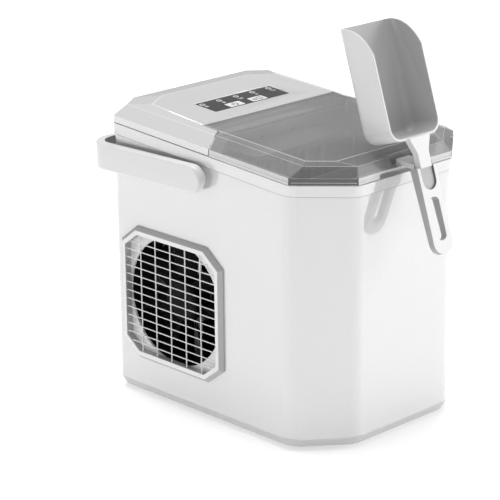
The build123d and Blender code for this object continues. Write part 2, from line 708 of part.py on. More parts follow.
# Bail handle
def handle():
    inner_x = HALF_WIDTH + HANDLE_GAP
    outer_x = inner_x + HANDLE_THICK
    outer_y = HALF_DEPTH + HANDLE_REAR_GAP + HANDLE_THICK
    half = HANDLE_HEIGHT / 2
    plan = Pos(0, (HANDLE_PIVOT_Y - half + outer_y) / 2) * Rectangle(2 * outer_x, outer_y - HANDLE_PIVOT_Y + half)
    plan = fillet(plan.vertices().group_by(Axis.Y)[-1], HANDLE_CORNER)
    hollow = Pos(0, (HANDLE_PIVOT_Y - half + outer_y) / 2 - HANDLE_THICK) * Rectangle(
        2 * inner_x, outer_y - HANDLE_PIVOT_Y + half)
    hollow = fillet(hollow.vertices().group_by(Axis.Y)[-1], HANDLE_CORNER - HANDLE_THICK)
    bail = extrude(Pos(0, 0, HANDLE_PIVOT_Z - half) * (plan - hollow), amount=HANDLE_HEIGHT)
    tips = [edge for edge in bail.edges().filter_by(Axis.X)
            if abs(edge.center().Y - (HANDLE_PIVOT_Y - half)) < 0.01]
    bail = fillet(tips, half - 0.1)
    long_edges = [edge for edge in bail.edges()
                  if edge.length > HANDLE_HEIGHT + 10 and edge.center().X * edge.center().X > 0
                  and abs(abs(edge.center().X) - outer_x) < 0.01]
    bail = fillet(long_edges, HANDLE_EDGE)
    for side in (-1, 1):
        bail -= rod((side * (inner_x - 1), HANDLE_PIVOT_Y, HANDLE_PIVOT_Z), (side, 0, 0),
                    PIVOT_PIN_RADIUS + RUNNING_FIT, PIVOT_PIN_REACH + 1 + FIT)
    swing = Pos(0, HANDLE_PIVOT_Y, HANDLE_PIVOT_Z) * Rot(-HANDLE_DROOP, 0, 0) * Pos(
        0, -HANDLE_PIVOT_Y, -HANDLE_PIVOT_Z)
    return swing * bail


def handle_pivots():
    pivots = []
    for side in (-1, 1):
        wall = (side * HALF_WIDTH, HANDLE_PIVOT_Y, HANDLE_PIVOT_Z)
        inside = (side * INNER_WALL_X, HANDLE_PIVOT_Y, HANDLE_PIVOT_Z)
        pivot = rod(wall, (side, 0, 0), PIVOT_BOSS_RADIUS, HANDLE_GAP - FIT)
        pivot += rod(wall, (side, 0, 0), PIVOT_PIN_RADIUS, HANDLE_GAP + PIVOT_PIN_REACH)
        pivot += rod(wall, (-side, 0, 0), PIVOT_PIN_RADIUS, WALL)
        pivot += rod(inside, (-side, 0, 0), PIVOT_NUT_RADIUS, PIVOT_NUT_THICK)
        pivots.append(pivot)
    return Compound(pivots)


# Vent grille and fan
def vent_frame():
    face_x = -HALF_WIDTH - VENT_PROUD
    frame = extrude(vent_plane(-HALF_WIDTH) * vent_octagon(0), amount=VENT_PROUD)
    rim_edges = frame.faces().sort_by(Axis.X)[0].outer_wire().edges()
    frame = chamfer(rim_edges, VENT_BEVEL)
    frame += extrude(vent_plane(-HALF_WIDTH) * vent_octagon(-VENT_BAND + VENT_SPIGOT), amount=-WALL)
    return frame - extrude(vent_plane(face_x - 1) * vent_octagon(-VENT_BAND), amount=-VENT_PROUD - WALL - 2)


def vent_grid():
    length = VENT_LENGTH - 2 * VENT_BAND
    height = VENT_HEIGHT - 2 * VENT_BAND
    face_x = -HALF_WIDTH - VENT_PROUD + GRID_SET_IN
    bars = []
    for column in range(1, GRID_COLUMNS):
        y = VENT_Y + (column / GRID_COLUMNS - 0.5) * length
        bars.append(block(face_x, face_x + GRID_DEPTH, y - GRID_BAR / 2, y + GRID_BAR / 2,
                          VENT_Z - height, VENT_Z + height))
    for row in range(1, GRID_ROWS):
        z = VENT_Z + (row / GRID_ROWS - 0.5) * height
        bars.append(block(face_x, face_x + GRID_DEPTH, VENT_Y - length, VENT_Y + length,
                          z - GRID_BAR / 2, z + GRID_BAR / 2))
    grid = bars[0].fuse(*bars[1:])
    return grid & extrude(vent_plane(-HALF_WIDTH - TALL / 4) * vent_octagon(-VENT_BAND), amount=-TALL)


def fan_shroud():
    plate = extrude(vent_plane(-INNER_WALL_X) * vent_octagon(-FIT), amount=-FAN_RING_WALL)
    return plate - rod((-INNER_WALL_X - 1, VENT_Y, VENT_Z), (1, 0, 0), FAN_OPENING_RADIUS, FAN_RING_LENGTH)


def fan_duct():
    start = -INNER_WALL_X + FAN_RING_WALL
    length = FAN_RING_LENGTH - FAN_RING_WALL
    ring = rod((start, VENT_Y, VENT_Z), (1, 0, 0), FAN_OPENING_RADIUS + FAN_RING_WALL, length)
    return ring - rod((start - 1, VENT_Y, VENT_Z), (1, 0, 0), FAN_OPENING_RADIUS, length + 2)


def fan_front():
    """x of the fan's front face."""
    return -INNER_WALL_X + FAN_FRONT_GAP


def fan_blade(angle):
    """One pitched blade, drawn from the hub to the tip and turned to its place."""
    root = Plane(origin=(0, 0, FAN_HUB_RADIUS - 2), z_dir=(0, 0, 1))
    tip = Plane(origin=(0, 0, FAN_RADIUS), z_dir=(0, 0, 1))
    sections = [root * Rot(0, 0, FAN_PITCH) * Rectangle(FAN_BLADE_THICK, FAN_BLADE_CHORD * 0.8),
                tip * Rot(0, 0, FAN_PITCH * 1.4) * Rectangle(FAN_BLADE_THICK * 0.7, FAN_BLADE_CHORD * 1.2)]
    blade = loft(sections, ruled=True)
    return Rot(angle, 0, 0) * blade


def fan_rotor():
    front = fan_front()
    middle = front + FAN_HUB_LENGTH / 2
    hub = rod((front, 0, 0), (1, 0, 0), FAN_HUB_RADIUS, FAN_HUB_LENGTH)
    hub = fillet(hub.edges().sort_by(Axis.X)[0], FAN_HUB_RADIUS / 5)
    blades = [Pos(middle, 0, 0) * fan_blade(360 * index / FAN_BLADES) for index in range(FAN_BLADES)]
    rotor = hub.fuse(*blades)
    rotor -= rod((front + FAN_HUB_LENGTH + 1, 0, 0), (-1, 0, 0), FAN_SHAFT_RADIUS + RUNNING_FIT,
                 FAN_HUB_LENGTH * 0.75)
    return Pos(0, VENT_Y, VENT_Z) * rotor


def fan_motor():
    front = fan_front() + FAN_HUB_LENGTH + 1.5
    motor = rod((front, VENT_Y, VENT_Z), (1, 0, 0), FAN_MOTOR_RADIUS, FAN_MOTOR_LENGTH)
    motor = fillet(motor.edges().sort_by(Axis.X)[-1], FAN_MOTOR_RADIUS / 4)
    return motor + rod((front, VENT_Y, VENT_Z), (-1, 0, 0), FAN_SHAFT_RADIUS, FAN_HUB_LENGTH * 0.6)


def fan_bracket():
    ring_end = -INNER_WALL_X + FAN_RING_LENGTH
    reach = FAN_OPENING_RADIUS + FAN_RING_WALL
    plane = Plane(origin=(ring_end, VENT_Y, VENT_Z), x_dir=(0, 1, 0), z_dir=(1, 0, 0))
    cross = Rectangle(2 * reach, FAN_BRACKET_WIDTH) + Rectangle(FAN_BRACKET_WIDTH, 2 * reach)
    cross += Circle(FAN_MOTOR_RADIUS + FAN_BRACKET_WIDTH / 2)
    cross -= Circle(FAN_MOTOR_RADIUS)
    bracket = extrude(plane * cross, amount=FAN_BRACKET_THICK)
    return bracket


def condenser():
    x0 = CONDENSER_X - CONDENSER_THICK / 2
    x1 = CONDENSER_X + CONDENSER_THICK / 2
    y0 = VENT_Y - CONDENSER_LENGTH / 2
    y1 = VENT_Y + CONDENSER_LENGTH / 2
    z0 = VENT_Z - CONDENSER_HEIGHT / 2
    z1 = VENT_Z + CONDENSER_HEIGHT / 2
    pieces = [block(x0, x1, y, y + CONDENSER_PLATE, BASE_FLOOR, z1) for y in (y0, y1 - CONDENSER_PLATE)]
    for fin in range(CONDENSER_FINS):
        y = y0 + (fin + 1) * (y1 - y0) / (CONDENSER_FINS + 1)
        pieces.append(block(x0, x1, y, y + CONDENSER_FIN, z0, z1))
    for row in range(CONDENSER_ROWS):
        z = z0 + (row + 0.5) * CONDENSER_HEIGHT / CONDENSER_ROWS
        pieces.append(rod((CONDENSER_X, y0 - 3, z), (0, 1, 0), CONDENSER_TUBE_RADIUS, y1 - y0 + 6))
    return pieces[0].fuse(*pieces[1:])


# Compressor and refrigerant circuit
def compressor_base():
    """Height of the underside of the compressor's foot plate."""
    return BASE_FLOOR + GROMMET_HEIGHT


def compressor():
    low = compressor_base() + COMPRESSOR_FOOT_PLATE
    radius = COMPRESSOR_RADIUS
    crown_height = COMPRESSOR_CROWN
    shell = Cylinder(radius, COMPRESSOR_HEIGHT, align=CENTRED_FLOOR)
    shell = fillet(shell.edges().filter_by(GeomType.CIRCLE), crown_height)
    seam = Pos(0, 0, COMPRESSOR_HEIGHT * 0.55) * Cylinder(radius + COMPRESSOR_SEAM, 3)
    plate = Pos(0, 0, -COMPRESSOR_FOOT_PLATE) * extrude(
        RectangleRounded(COMPRESSOR_FOOT_SPAN, COMPRESSOR_FOOT_SPAN, GROMMET_RADIUS), amount=COMPRESSOR_FOOT_PLATE)
    box = Pos(-radius, 0, COMPRESSOR_HEIGHT * 0.4) * Box(TERMINAL_DEPTH, TERMINAL_WIDTH, TERMINAL_HEIGHT)
    form = shell + seam + plate + box
    return Pos(COMPRESSOR_X, COMPRESSOR_Y, low) * form


def grommets():
    reach = COMPRESSOR_FOOT_SPAN / 2 - GROMMET_RADIUS
    pads = []
    for sx in (-1, 1):
        for sy in (-1, 1):
            pad = Cylinder(GROMMET_RADIUS, GROMMET_HEIGHT, align=CENTRED_FLOOR)
            waist = Pos(0, 0, GROMMET_HEIGHT / 2) * Torus(GROMMET_RADIUS + 1, 2.5)
            pads.append(Pos(COMPRESSOR_X + sx * reach, COMPRESSOR_Y + sy * reach, BASE_FLOOR) * (pad - waist))
    return Compound(pads)


def drier_top():
    return BASE_FLOOR + 4 * PIPE_RADIUS + DRIER_LENGTH


def filter_drier():
    low = BASE_FLOOR
    profile = make_face(Polyline((0, 0), (PIPE_RADIUS, 0), (PIPE_RADIUS, 8), (DRIER_RADIUS, 16),
                                 (DRIER_RADIUS, DRIER_LENGTH - 6), (PIPE_RADIUS, drier_top() - low),
                                 (0, drier_top() - low), close=True))
    return Pos(DRIER_X, DRIER_Y, low) * revolve(Plane.XZ * profile, Axis.Z)


def condenser_end(row):
    """Free end of one condenser tube, on the rear side."""
    z = VENT_Z - CONDENSER_HEIGHT / 2 + (row + 0.5) * CONDENSER_HEIGHT / CONDENSER_ROWS
    return (CONDENSER_X, VENT_Y + CONDENSER_LENGTH / 2 + 3, z)


def valve_block():
    body = Pos(VALVE_X, VALVE_Y, VALVE_Z) * Box(VALVE_SIZE, VALVE_SIZE * 0.8, VALVE_SIZE)
    body = fillet(body.edges().filter_by(Axis.Z), VALVE_SIZE / 10)
    half_width = VALVE_PLATE_WIDTH / 2
    half_height = VALVE_PLATE_HEIGHT / 2
    wall_plate = block(VALVE_X - half_width, VALVE_X + half_width, VALVE_Y, INNER_WALL_Y,
                       VALVE_Z - half_height, VALVE_Z + half_height)
    return body + wall_plate


def compressor_top():
    return compressor_base() + COMPRESSOR_FOOT_PLATE + COMPRESSOR_HEIGHT


def discharge_top():
    """Height of the highest run of the discharge pipe."""
    return max(compressor_top(), condenser_end(CONDENSER_ROWS - 1)[2]) + PIPE_RISE


def discharge_pipe():
    """Compressor to the top of the condenser."""
    end = condenser_end(CONDENSER_ROWS - 1)
    start_y = COMPRESSOR_Y + DISCHARGE_OFFSET
    across_y = max(end[1], start_y) + DISCHARGE_REACH
    top = discharge_top()
    return pipe([(COMPRESSOR_X, start_y, compressor_top() - PIPE_STUB), (COMPRESSOR_X, start_y, top),
                 (COMPRESSOR_X, across_y, top), (end[0], across_y, top), (end[0], across_y, end[2]), end],
                PIPE_RADIUS, PIPE_BEND) - compressor()


def evaporator_port(x):
    """Where a refrigerant pipe meets the evaporator plate."""
    return (x, TRAY_Y + EVAPORATOR_DEPTH / 2, EVAPORATOR_Z + EVAPORATOR_THICK / 2)


def liquid_pipe():
    """Drier to the evaporator."""
    start = (DRIER_X, DRIER_Y, drier_top())
    port = evaporator_port(DRIER_X)
    behind = SHELF_REAR_Y + TUB_WALL + 8
    low = SHELF_Z - TUB_WALL - 30
    return pipe([start, (DRIER_X, DRIER_Y, low), (DRIER_X, behind, low), (DRIER_X, behind, port[2]), port],
                PIPE_RADIUS, PIPE_BEND)


def suction_pipe():
    """Evaporator back to the compressor."""
    port = evaporator_port(COMPRESSOR_X - 20)
    behind = SHELF_REAR_Y + TUB_WALL + 8
    low = compressor_top() + 34
    end = (COMPRESSOR_X - 20, COMPRESSOR_Y, compressor_top() - 12)
    return pipe([port, (port[0], behind, port[2]), (port[0], behind, low), (end[0], end[1], low), end],
                PIPE_RADIUS, PIPE_BEND) - compressor()


# Tub and freezing unit
def tub_plan(shrink):
    """Plan outline of the tub's outside, moved in by shrink."""
    return outline(RIM_PROUD - RIM_FLANGE - TUB_CLEARANCE - shrink, TUB_CORNER)


def tub_space(shrink, floor_drop):
    """The tub's form: a deep well in front and a shallow shelf behind it."""
    plan = tub_plan(shrink)
    well = prism(plan, TUB_FLOOR_Z - floor_drop, TALL) & block(
        -TALL, TALL, -TALL, TUB_REAR_Y + floor_drop, 0, TALL)
    shelf = prism(plan, SHELF_Z - floor_drop, TALL) & block(
        -TALL, TALL, TUB_REAR_Y - 20, SHELF_REAR_Y + floor_drop, 0, TALL)
    return well + shelf


def inner_tub():
    tub = tub_space(0, TUB_WALL)
    flange = prism(outline(RIM_PROUD - RIM_FLANGE + TUB_FLANGE, TUB_CORNER), 0, TALL)
    flange = (flange & sloped_slab(0, TUB_FLANGE_THICK)) & block(-TALL, TALL, -TALL, SHELF_REAR_Y + TUB_WALL, 0, TALL)
    tub = (tub & sloped_slab(-TALL, TUB_FLANGE_THICK)) + flange
    tub -= tub_space(TUB_WALL, 0)
    for side in (-1, 1):
        rail = block(RAIL_X - RAIL_THICK / 2, RAIL_X + RAIL_THICK / 2, -HALF_DEPTH + 20, TUB_REAR_Y - 6,
                     TUB_FLOOR_Z, BASKET_FLOOR_Z)
        tub += rail if side > 0 else mirror(rail, about=Plane.YZ)
    legs = block(RAIL_X - TUB_LEG / 2, RAIL_X + TUB_LEG / 2, TUB_REAR_Y - TUB_LEG_FAR, TUB_REAR_Y - TUB_LEG_NEAR,
                 BASE_FLOOR, TUB_FLOOR_Z - TUB_WALL)
    tub += legs
    tub += mirror(legs, about=Plane.YZ)
    tub -= rod((PUMP_X, TUB_REAR_Y - 4, INTAKE_Z), (0, 1, 0), HOSE_RADIUS + FIT, TUB_WALL + 8)
    tub -= rod((PUMP_X, PUMP_Y, SHELF_Z - TUB_WALL - 1), (0, 0, 1), HOSE_RADIUS + FIT, TUB_WALL + 2)
    tub -= rod((TALL / 4, DRAIN_Y, DRAIN_Z), (1, 0, 0), DRAIN_BORE + DRAIN_WALL + FIT, 1)
    tub -= rod((HALF_WIDTH - WALL - 20, DRAIN_Y, DRAIN_Z), (1, 0, 0), DRAIN_BORE + DRAIN_WALL + FIT, 20)
    for x in (DRIER_X, COMPRESSOR_X - 20):
        port = evaporator_port(x)
        tub -= rod((x, SHELF_REAR_Y - 1, port[2]), (0, 1, 0), PIPE_RADIUS + FIT, TUB_WALL + 2)
    return tub


def insulation_wall():
    low = TUB_REAR_Y + TUB_WALL
    half = HALF_WIDTH - WALL - 10
    wall = block(-half, half, low, low + INSULATION, BASE_FLOOR, SHELF_Z - TUB_WALL)
    return wall - rod((PUMP_X, low - 1, INTAKE_Z), (0, 1, 0), HOSE_RADIUS + FIT, INSULATION + 2)


def basket_plan(shrink):
    plan = tub_plan(TUB_WALL + BASKET_FRONT_GAP + shrink)
    keep = Rectangle(2 * (TUB_HALF_WIDTH - BASKET_SIDE_GAP - shrink), 4 * BODY_DEPTH, align=(Align.CENTER, Align.MAX))
    return plan & (Pos(0, TUB_REAR_Y - BASKET_REAR_GAP - shrink) * keep)


def ice_basket():
    basket = prism(basket_plan(0), BASKET_FLOOR_Z, BASKET_TOP_Z)
    basket -= prism(basket_plan(BASKET_WALL), BASKET_FLOOR_Z + BASKET_WALL, BASKET_TOP_Z + 1)
    half = TUB_HALF_WIDTH
    span = 2 * (half - BASKET_SIDE_GAP) * 0.8
    front = -HALF_DEPTH + BASKET_SLOT_FRONT
    for slot in range(BASKET_SLOTS):
        x = (slot / (BASKET_SLOTS - 1) - 0.5) * span
        if abs(abs(x) - RAIL_X) > RAIL_THICK + BASKET_SLOT_WIDTH:
            basket -= block(x - BASKET_SLOT_WIDTH / 2, x + BASKET_SLOT_WIDTH / 2, front, TUB_REAR_Y - BASKET_SLOT_REAR,
                            BASKET_FLOOR_Z - 1, BASKET_FLOOR_Z + BASKET_WALL + 1)
    grip = Plane.XZ * RectangleRounded(BASKET_GRIP_WIDTH, BASKET_GRIP_HEIGHT, BASKET_GRIP_HEIGHT / 2.5)
    grip_z = BASKET_TOP_Z - BASKET_GRIP_HEIGHT
    basket -= extrude(Pos(0, TUB_REAR_Y, grip_z) * grip, amount=2 * BODY_DEPTH, both=True)
    return basket


def cheek(x0, x1):
    plate = block(x0, x1, TRAY_Y - CHEEK_DEPTH / 2, TRAY_Y + CHEEK_DEPTH / 2, SHELF_Z, EVAPORATOR_Z)
    return plate - rod((x0 - 1, TRAY_Y, TRAY_AXIS_Z), (1, 0, 0), TRAY_SHAFT_RADIUS + RUNNING_FIT, x1 - x0 + 2)


def cheek_face():
    """x of the outer face of the right cheek."""
    return TRAY_HALF_LENGTH + CHEEK_GAP + CHEEK_THICK


def freezer_bracket():
    outer = cheek_face()
    right = cheek(outer - CHEEK_THICK, outer)
    right -= rod((outer + 1, PUMP_Y, HOSE_TOP_Z), (-1, 0, 0), HOSE_BORE, CHEEK_THICK + 2)
    return Compound([cheek(-outer, -outer + CHEEK_THICK), right])


def evaporator():
    half = TRAY_HALF_LENGTH + CHEEK_GAP + CHEEK_THICK
    plate = block(-half, half, TRAY_Y - EVAPORATOR_DEPTH / 2, TRAY_Y + EVAPORATOR_DEPTH / 2, EVAPORATOR_Z,
                  EVAPORATOR_Z + EVAPORATOR_THICK)
    plate = fillet(plate.edges().filter_by(Axis.Z), 6)
    fingers = []
    for count, y in ((5, TRAY_Y + FINGER_ROW), (4, TRAY_Y - FINGER_ROW)):
        for index in range(count):
            x = (index - (count - 1) / 2) * FINGER_PITCH
            finger = rod((x, y, EVAPORATOR_Z), (0, 0, -1), FINGER_RADIUS, FINGER_LENGTH)
            fingers.append(fillet(finger.edges().sort_by(Axis.Z)[0], FINGER_RADIUS * 0.8))
    return plate.fuse(*fingers)


def water_tray():
    half = TRAY_HALF_LENGTH
    trough = rod((-half, TRAY_Y, TRAY_AXIS_Z), (1, 0, 0), TRAY_RADIUS, 2 * half)
    trough -= rod((-half + TRAY_WALL, TRAY_Y, TRAY_AXIS_Z), (1, 0, 0), TRAY_RADIUS - TRAY_WALL,
                  2 * (half - TRAY_WALL))
    trough &= block(-TALL, TALL, -TALL, TALL, 0, TRAY_AXIS_Z)
    reach = CHEEK_GAP + CHEEK_THICK
    for side in (-1, 1):
        trough += rod((side * (half - TRAY_WALL), TRAY_Y, TRAY_AXIS_Z), (side, 0, 0), TRAY_SHAFT_RADIUS,
                      TRAY_WALL + reach)
    hub = rod((-half - reach, TRAY_Y, TRAY_AXIS_Z), (-1, 0, 0), TRAY_SHAFT_RADIUS, MOTOR_LENGTH / 2)
    return trough + hub


def tray_motor():
    outer = -TRAY_HALF_LENGTH - CHEEK_GAP - CHEEK_THICK
    motor = block(outer - MOTOR_LENGTH, outer, TRAY_Y - MOTOR_DEPTH / 2, TRAY_Y + MOTOR_DEPTH / 2,
                  TRAY_AXIS_Z - MOTOR_HEIGHT / 2, TRAY_AXIS_Z + MOTOR_HEIGHT / 2)
    motor = fillet(motor.edges().filter_by(Axis.X), 4)
    return motor - rod((outer + 1, TRAY_Y, TRAY_AXIS_Z), (-1, 0, 0), TRAY_SHAFT_RADIUS + RUNNING_FIT,
                       MOTOR_LENGTH / 2 + 2)


def ice_sensors():
    face = TUB_HALF_WIDTH
    sensor = block(face - SENSOR_THICK, face, SENSOR_Y - SENSOR_SIZE / 2, SENSOR_Y + SENSOR_SIZE / 2,
                   SENSOR_Z - SENSOR_SIZE / 2, SENSOR_Z + SENSOR_SIZE / 2)
    sensor = fillet(sensor.edges().filter_by(Axis.X), SENSOR_SIZE / 4)
    return both_sides(sensor)


# Water circuit
def pump_top():
    return BASE_FLOOR + PUMP_HEIGHT


def water_pump():
    body = Pos(PUMP_X, PUMP_Y, BASE_FLOOR) * Cylinder(PUMP_RADIUS, PUMP_HEIGHT, align=CENTRED_FLOOR)
    body = fillet(body.edges().sort_by(Axis.Z)[-1], 3)
    head = Pos(PUMP_X, PUMP_Y, pump_top()) * Cylinder(PUMP_RADIUS * 0.7, INTAKE_Z + 8 - pump_top(), align=CENTRED_FLOOR)
    return body + head


def pump_intake():
    """Stub tube from the reservoir through the insulation to the pump."""
    start = TUB_REAR_Y - 2
    end = PUMP_Y - PUMP_RADIUS * 0.7
    tube = rod((PUMP_X, start, INTAKE_Z), (0, 1, 0), HOSE_RADIUS, end - start + 3) - water_pump()
    return tube - rod((PUMP_X, start - 1, INTAKE_Z), (0, 1, 0), HOSE_BORE, end - start)


def pump_hose():
    """Hose from the pump up through the tub's shelf to the water hole in the freezer bracket."""
    start = (PUMP_X, PUMP_Y, INTAKE_Z + 8)
    return pipe([start, (PUMP_X, PUMP_Y, HOSE_TOP_Z), (cheek_face(), PUMP_Y, HOSE_TOP_Z)],
                HOSE_RADIUS, 2 * HOSE_RADIUS, HOSE_BORE)


def drain_spout():
    start = TUB_HALF_WIDTH + 0.1
    tube = rod((start, DRAIN_Y, DRAIN_Z), (1, 0, 0), DRAIN_BORE + DRAIN_WALL, HALF_WIDTH + 1.5 - start)
    tube += rod((HALF_WIDTH, DRAIN_Y, DRAIN_Z), (1, 0, 0), DRAIN_FLANGE_RADIUS, 1.5)
    return tube - rod((start - 1, DRAIN_Y, DRAIN_Z), (1, 0, 0), DRAIN_BORE, TALL / 4)


def drain_plug():
    face = HALF_WIDTH + 1.5 + FIT
    plug = rod((face - 14, DRAIN_Y, DRAIN_Z), (1, 0, 0), DRAIN_BORE - RUNNING_FIT, 14)
    cap = rod((face, DRAIN_Y, DRAIN_Z), (1, 0, 0), DRAIN_FLANGE_RADIUS - 1.5, 3)
    cap = fillet(cap.edges().sort_by(Axis.X)[-1], 1.2)
    grip = block(face + 3, face + 9, DRAIN_Y - 1.5, DRAIN_Y + 1.5, DRAIN_Z - 8, DRAIN_Z + 8)
    return plug + cap + fillet(grip.edges().filter_by(Axis.Y), 2)


# Rear electrical pieces
def power_inlet():
    y_out = HALF_DEPTH + INLET_PROUD
    wide = INLET_WIDTH / 2
    tall = INLET_HEIGHT / 2
    inlet = block(INLET_X - wide, INLET_X + wide, y_out - INLET_DEPTH, y_out, INLET_Z - tall, INLET_Z + tall)
    flange = block(INLET_X - wide - INLET_FLANGE, INLET_X + wide + INLET_FLANGE, HALF_DEPTH, y_out,
                   INLET_Z - tall - 2, INLET_Z + tall + 2)
    inlet += fillet(flange.edges().filter_by(Axis.Y), 2)
    wall = INLET_WALL
    inlet -= block(INLET_X - wide + wall, INLET_X + wide - wall, y_out - INLET_DEPTH + wall, y_out + 1,
                   INLET_Z - tall + wall, INLET_Z + tall - wall)
    half_pin = INLET_PIN_WIDTH / 2
    half_high = INLET_PIN_HEIGHT / 2
    for step in (-1, 0, 1):
        x = INLET_X + step * INLET_PIN_PITCH
        z = INLET_Z + half_high * (1 - 2 * abs(step))
        inlet += block(x - half_pin, x + half_pin, y_out - INLET_DEPTH + wall / 2, y_out - INLET_PIN_SINK,
                       z - half_high, z + half_high)
    return inlet


def power_board():
    y = INNER_WALL_Y - POWER_BOARD_POST
    half = POWER_BOARD_WIDTH / 2
    low = discharge_top() + PIPE_RADIUS + POWER_BOARD_GAP
    high = low + POWER_BOARD_HEIGHT
    board = block(POWER_BOARD_X - half, POWER_BOARD_X + half, y - BOARD_THICK, y, low, high)
    for sx in (-1, 1):
        for z in (low + POWER_BOARD_EDGE, high - POWER_BOARD_EDGE):
            board += rod((POWER_BOARD_X + sx * (half - POWER_BOARD_EDGE), y, z), (0, 1, 0), BOARD_POST_RADIUS,
                         POWER_BOARD_POST)
    middle = POWER_BOARD_X + TRANSFORMER_X
    board += block(middle - TRANSFORMER_WIDTH / 2, middle + TRANSFORMER_WIDTH / 2, y - BOARD_THICK - TRANSFORMER_DEPTH,
                   y - BOARD_THICK, low + TRANSFORMER_RISE, low + TRANSFORMER_RISE + TRANSFORMER_WIDTH)
    return board + rod((POWER_BOARD_X + CAPACITOR_X, y - BOARD_THICK, high - CAPACITOR_LENGTH), (0, -1, 0),
                       CAPACITOR_RADIUS, CAPACITOR_LENGTH)


# Scoop and holder, drawn upright and then leaned: x across, y out of the machine is negative, z up the scoop
def scoop_frame():
    """Frame of the holder's top edge, leaning so that its foot stands away from the machine."""
    return TOP * Pos(SCOOP_X, -RIM_HALF_DEPTH - HOLDER_TOP_OUT, HOLDER_TOP_RISE) * Rot(-SCOOP_LEAN, 0, 0)


def u_outline(width, length):
    """A U: flat at its top edge on z = 0, round at its foot."""
    half = width / 2
    shape = Pos(0, -(length - half) / 2) * Rectangle(width, length - half)
    return Plane.XZ * (shape + Pos(0, -(length - half)) * Circle(half))


def holder():
    leg = Plane.XZ * Pos(0, -HOLDER_LENGTH / 2) * RectangleRounded(HOLDER_WIDTH, HOLDER_LENGTH, HOLDER_WIDTH * 0.42)
    leg += Plane.XZ * Pos(0, -HOLDER_LENGTH / 4) * Rectangle(HOLDER_WIDTH, HOLDER_LENGTH / 2)
    solid = extrude(leg, amount=-HOLDER_THICK)
    slot_z = -HOLDER_LENGTH + HOLDER_SLOT_FROM_BOTTOM + HOLDER_SLOT_LENGTH / 2
    slot = Plane.XZ * Pos(0, slot_z) * Rot(0, 0, 90) * SlotOverall(HOLDER_SLOT_LENGTH, HOLDER_SLOT_WIDTH)
    solid -= extrude(Pos(0, -1, 0) * slot, amount=-HOLDER_THICK - 2)
    pocket = Pos(0, -1, 0) * u_outline(TONGUE_WIDTH + 2 * FIT, TONGUE_LENGTH + FIT)
    solid -= extrude(pocket, amount=-HOLDER_THICK + HOLDER_POCKET_BACK - 1)
    half_arm = HOOK_ARM_WIDTH / 2
    solid += block(-half_arm, half_arm, HOLDER_THICK - HOLDER_POCKET_BACK, HOLDER_THICK,
                   -HOLDER_BACK_RISE, HOLDER_BACK_RISE)
    return scoop_frame() * solid + hook()


def hook():
    """Arm from the holder's back into the pocket of the lid, with a tip that drops into the slot there."""
    front = -CROWN_HALF_DEPTH
    floor = POCKET_FLOOR_RISE + FIT
    tip_y = front + POCKET_DEPTH - HOOK_SLOT_LENGTH
    start = -RIM_HALF_DEPTH - HOLDER_TOP_OUT
    half = HOOK_ARM_WIDTH / 2
    arm = block(-half, half, start, tip_y + HOOK_TIP / 2, floor, floor + HOOK_ARM_HEIGHT)
    tip = block(-half, half, tip_y - HOOK_TIP / 2, tip_y + HOOK_TIP / 2, floor - HOOK_TIP_DROP, floor)
    return TOP * Pos(SCOOP_X, 0, 0) * (arm + tip) - scoop_frame() * block(
        -HOLDER_WIDTH, HOLDER_WIDTH, -HOLDER_THICK, HOLDER_THICK - HOLDER_POCKET_BACK, -HOLDER_LENGTH, HOLDER_LENGTH)


def scoop():
    """Bowl with a flat back, rounded corners and side walls that run out at the tip; neck and tongue below it."""
    bowl_low = NECK_LENGTH
    bowl_high = NECK_LENGTH + SCOOP_LENGTH
    back = NECK_THICK + SCOOP_DEPTH - SCOOP_WALL * 2
    lip = back - SCOOP_DEPTH
    outer = bowl_form(0, lip, back, bowl_low, bowl_high)
    inner = bowl_form(SCOOP_WALL, lip - 1, back - SCOOP_WALL, bowl_low + SCOOP_WALL, bowl_high + SCOOP_WALL)
    mouth = Plane.YZ * mouth_profile(lip, back, bowl_high)
    bowl = outer - inner - extrude(mouth, amount=SCOOP_WIDTH, both=True)
    half_top = NECK_TOP_WIDTH / 2
    half_neck = NECK_WIDTH / 2
    flare = bowl_low - NECK_FLARE
    neck = Plane.XZ * make_face(Polyline((-half_neck, -1), (-half_neck, flare), (-half_top, bowl_low + 1),
                                         (half_top, bowl_low + 1), (half_neck, flare), (half_neck, -1), close=True))
    depth = HOLDER_THICK - HOLDER_POCKET_BACK - FIT
    stem = extrude(neck, amount=-depth)
    tongue = Pos(0, TONGUE_SET_IN, 0) * extrude(u_outline(TONGUE_WIDTH, TONGUE_LENGTH), amount=-depth + TONGUE_SET_IN)
    return scoop_frame() * (bowl + (stem - inner) + tongue)


def bowl_form(shrink, lip, back, low, high):
    """A block with rounded sides and foot, between its lip and its back."""
    half = SCOOP_WIDTH / 2 - shrink
    length = high - low + SCOOP_CORNER
    face = Pos(0, low + length / 2) * RectangleRounded(2 * half, length, SCOOP_CORNER - shrink)
    form = extrude(Plane.XZ * face, amount=-(back - lip))
    form = Pos(0, lip, 0) * form
    rear_edges = form.faces().sort_by(Axis.Y)[-1].outer_wire().edges()
    form = fillet(rear_edges, SCOOP_CORNER * 0.6 - shrink * 0.6)
    return form & block(-SCOOP_WIDTH, SCOOP_WIDTH, -TALL, TALL, -TALL, high)


def mouth_profile(lip, back, high):
    """Side view of what the open mouth takes away: a curve from the lip to the tip of the back."""
    start = (lip - 2, high - SCOOP_MOUTH)
    end = (back - SCOOP_WALL, high)
    curve = Bezier(start, (lip + (back - lip) * 0.15, high - SCOOP_MOUTH * 0.25),
                   (back - (back - lip) * 0.45, high - SCOOP_MOUTH * 0.02), end)
    frame = Polyline(end, (back - SCOOP_WALL, high + 4), (lip - 2, high + 4), start)
    return make_face(curve + frame)


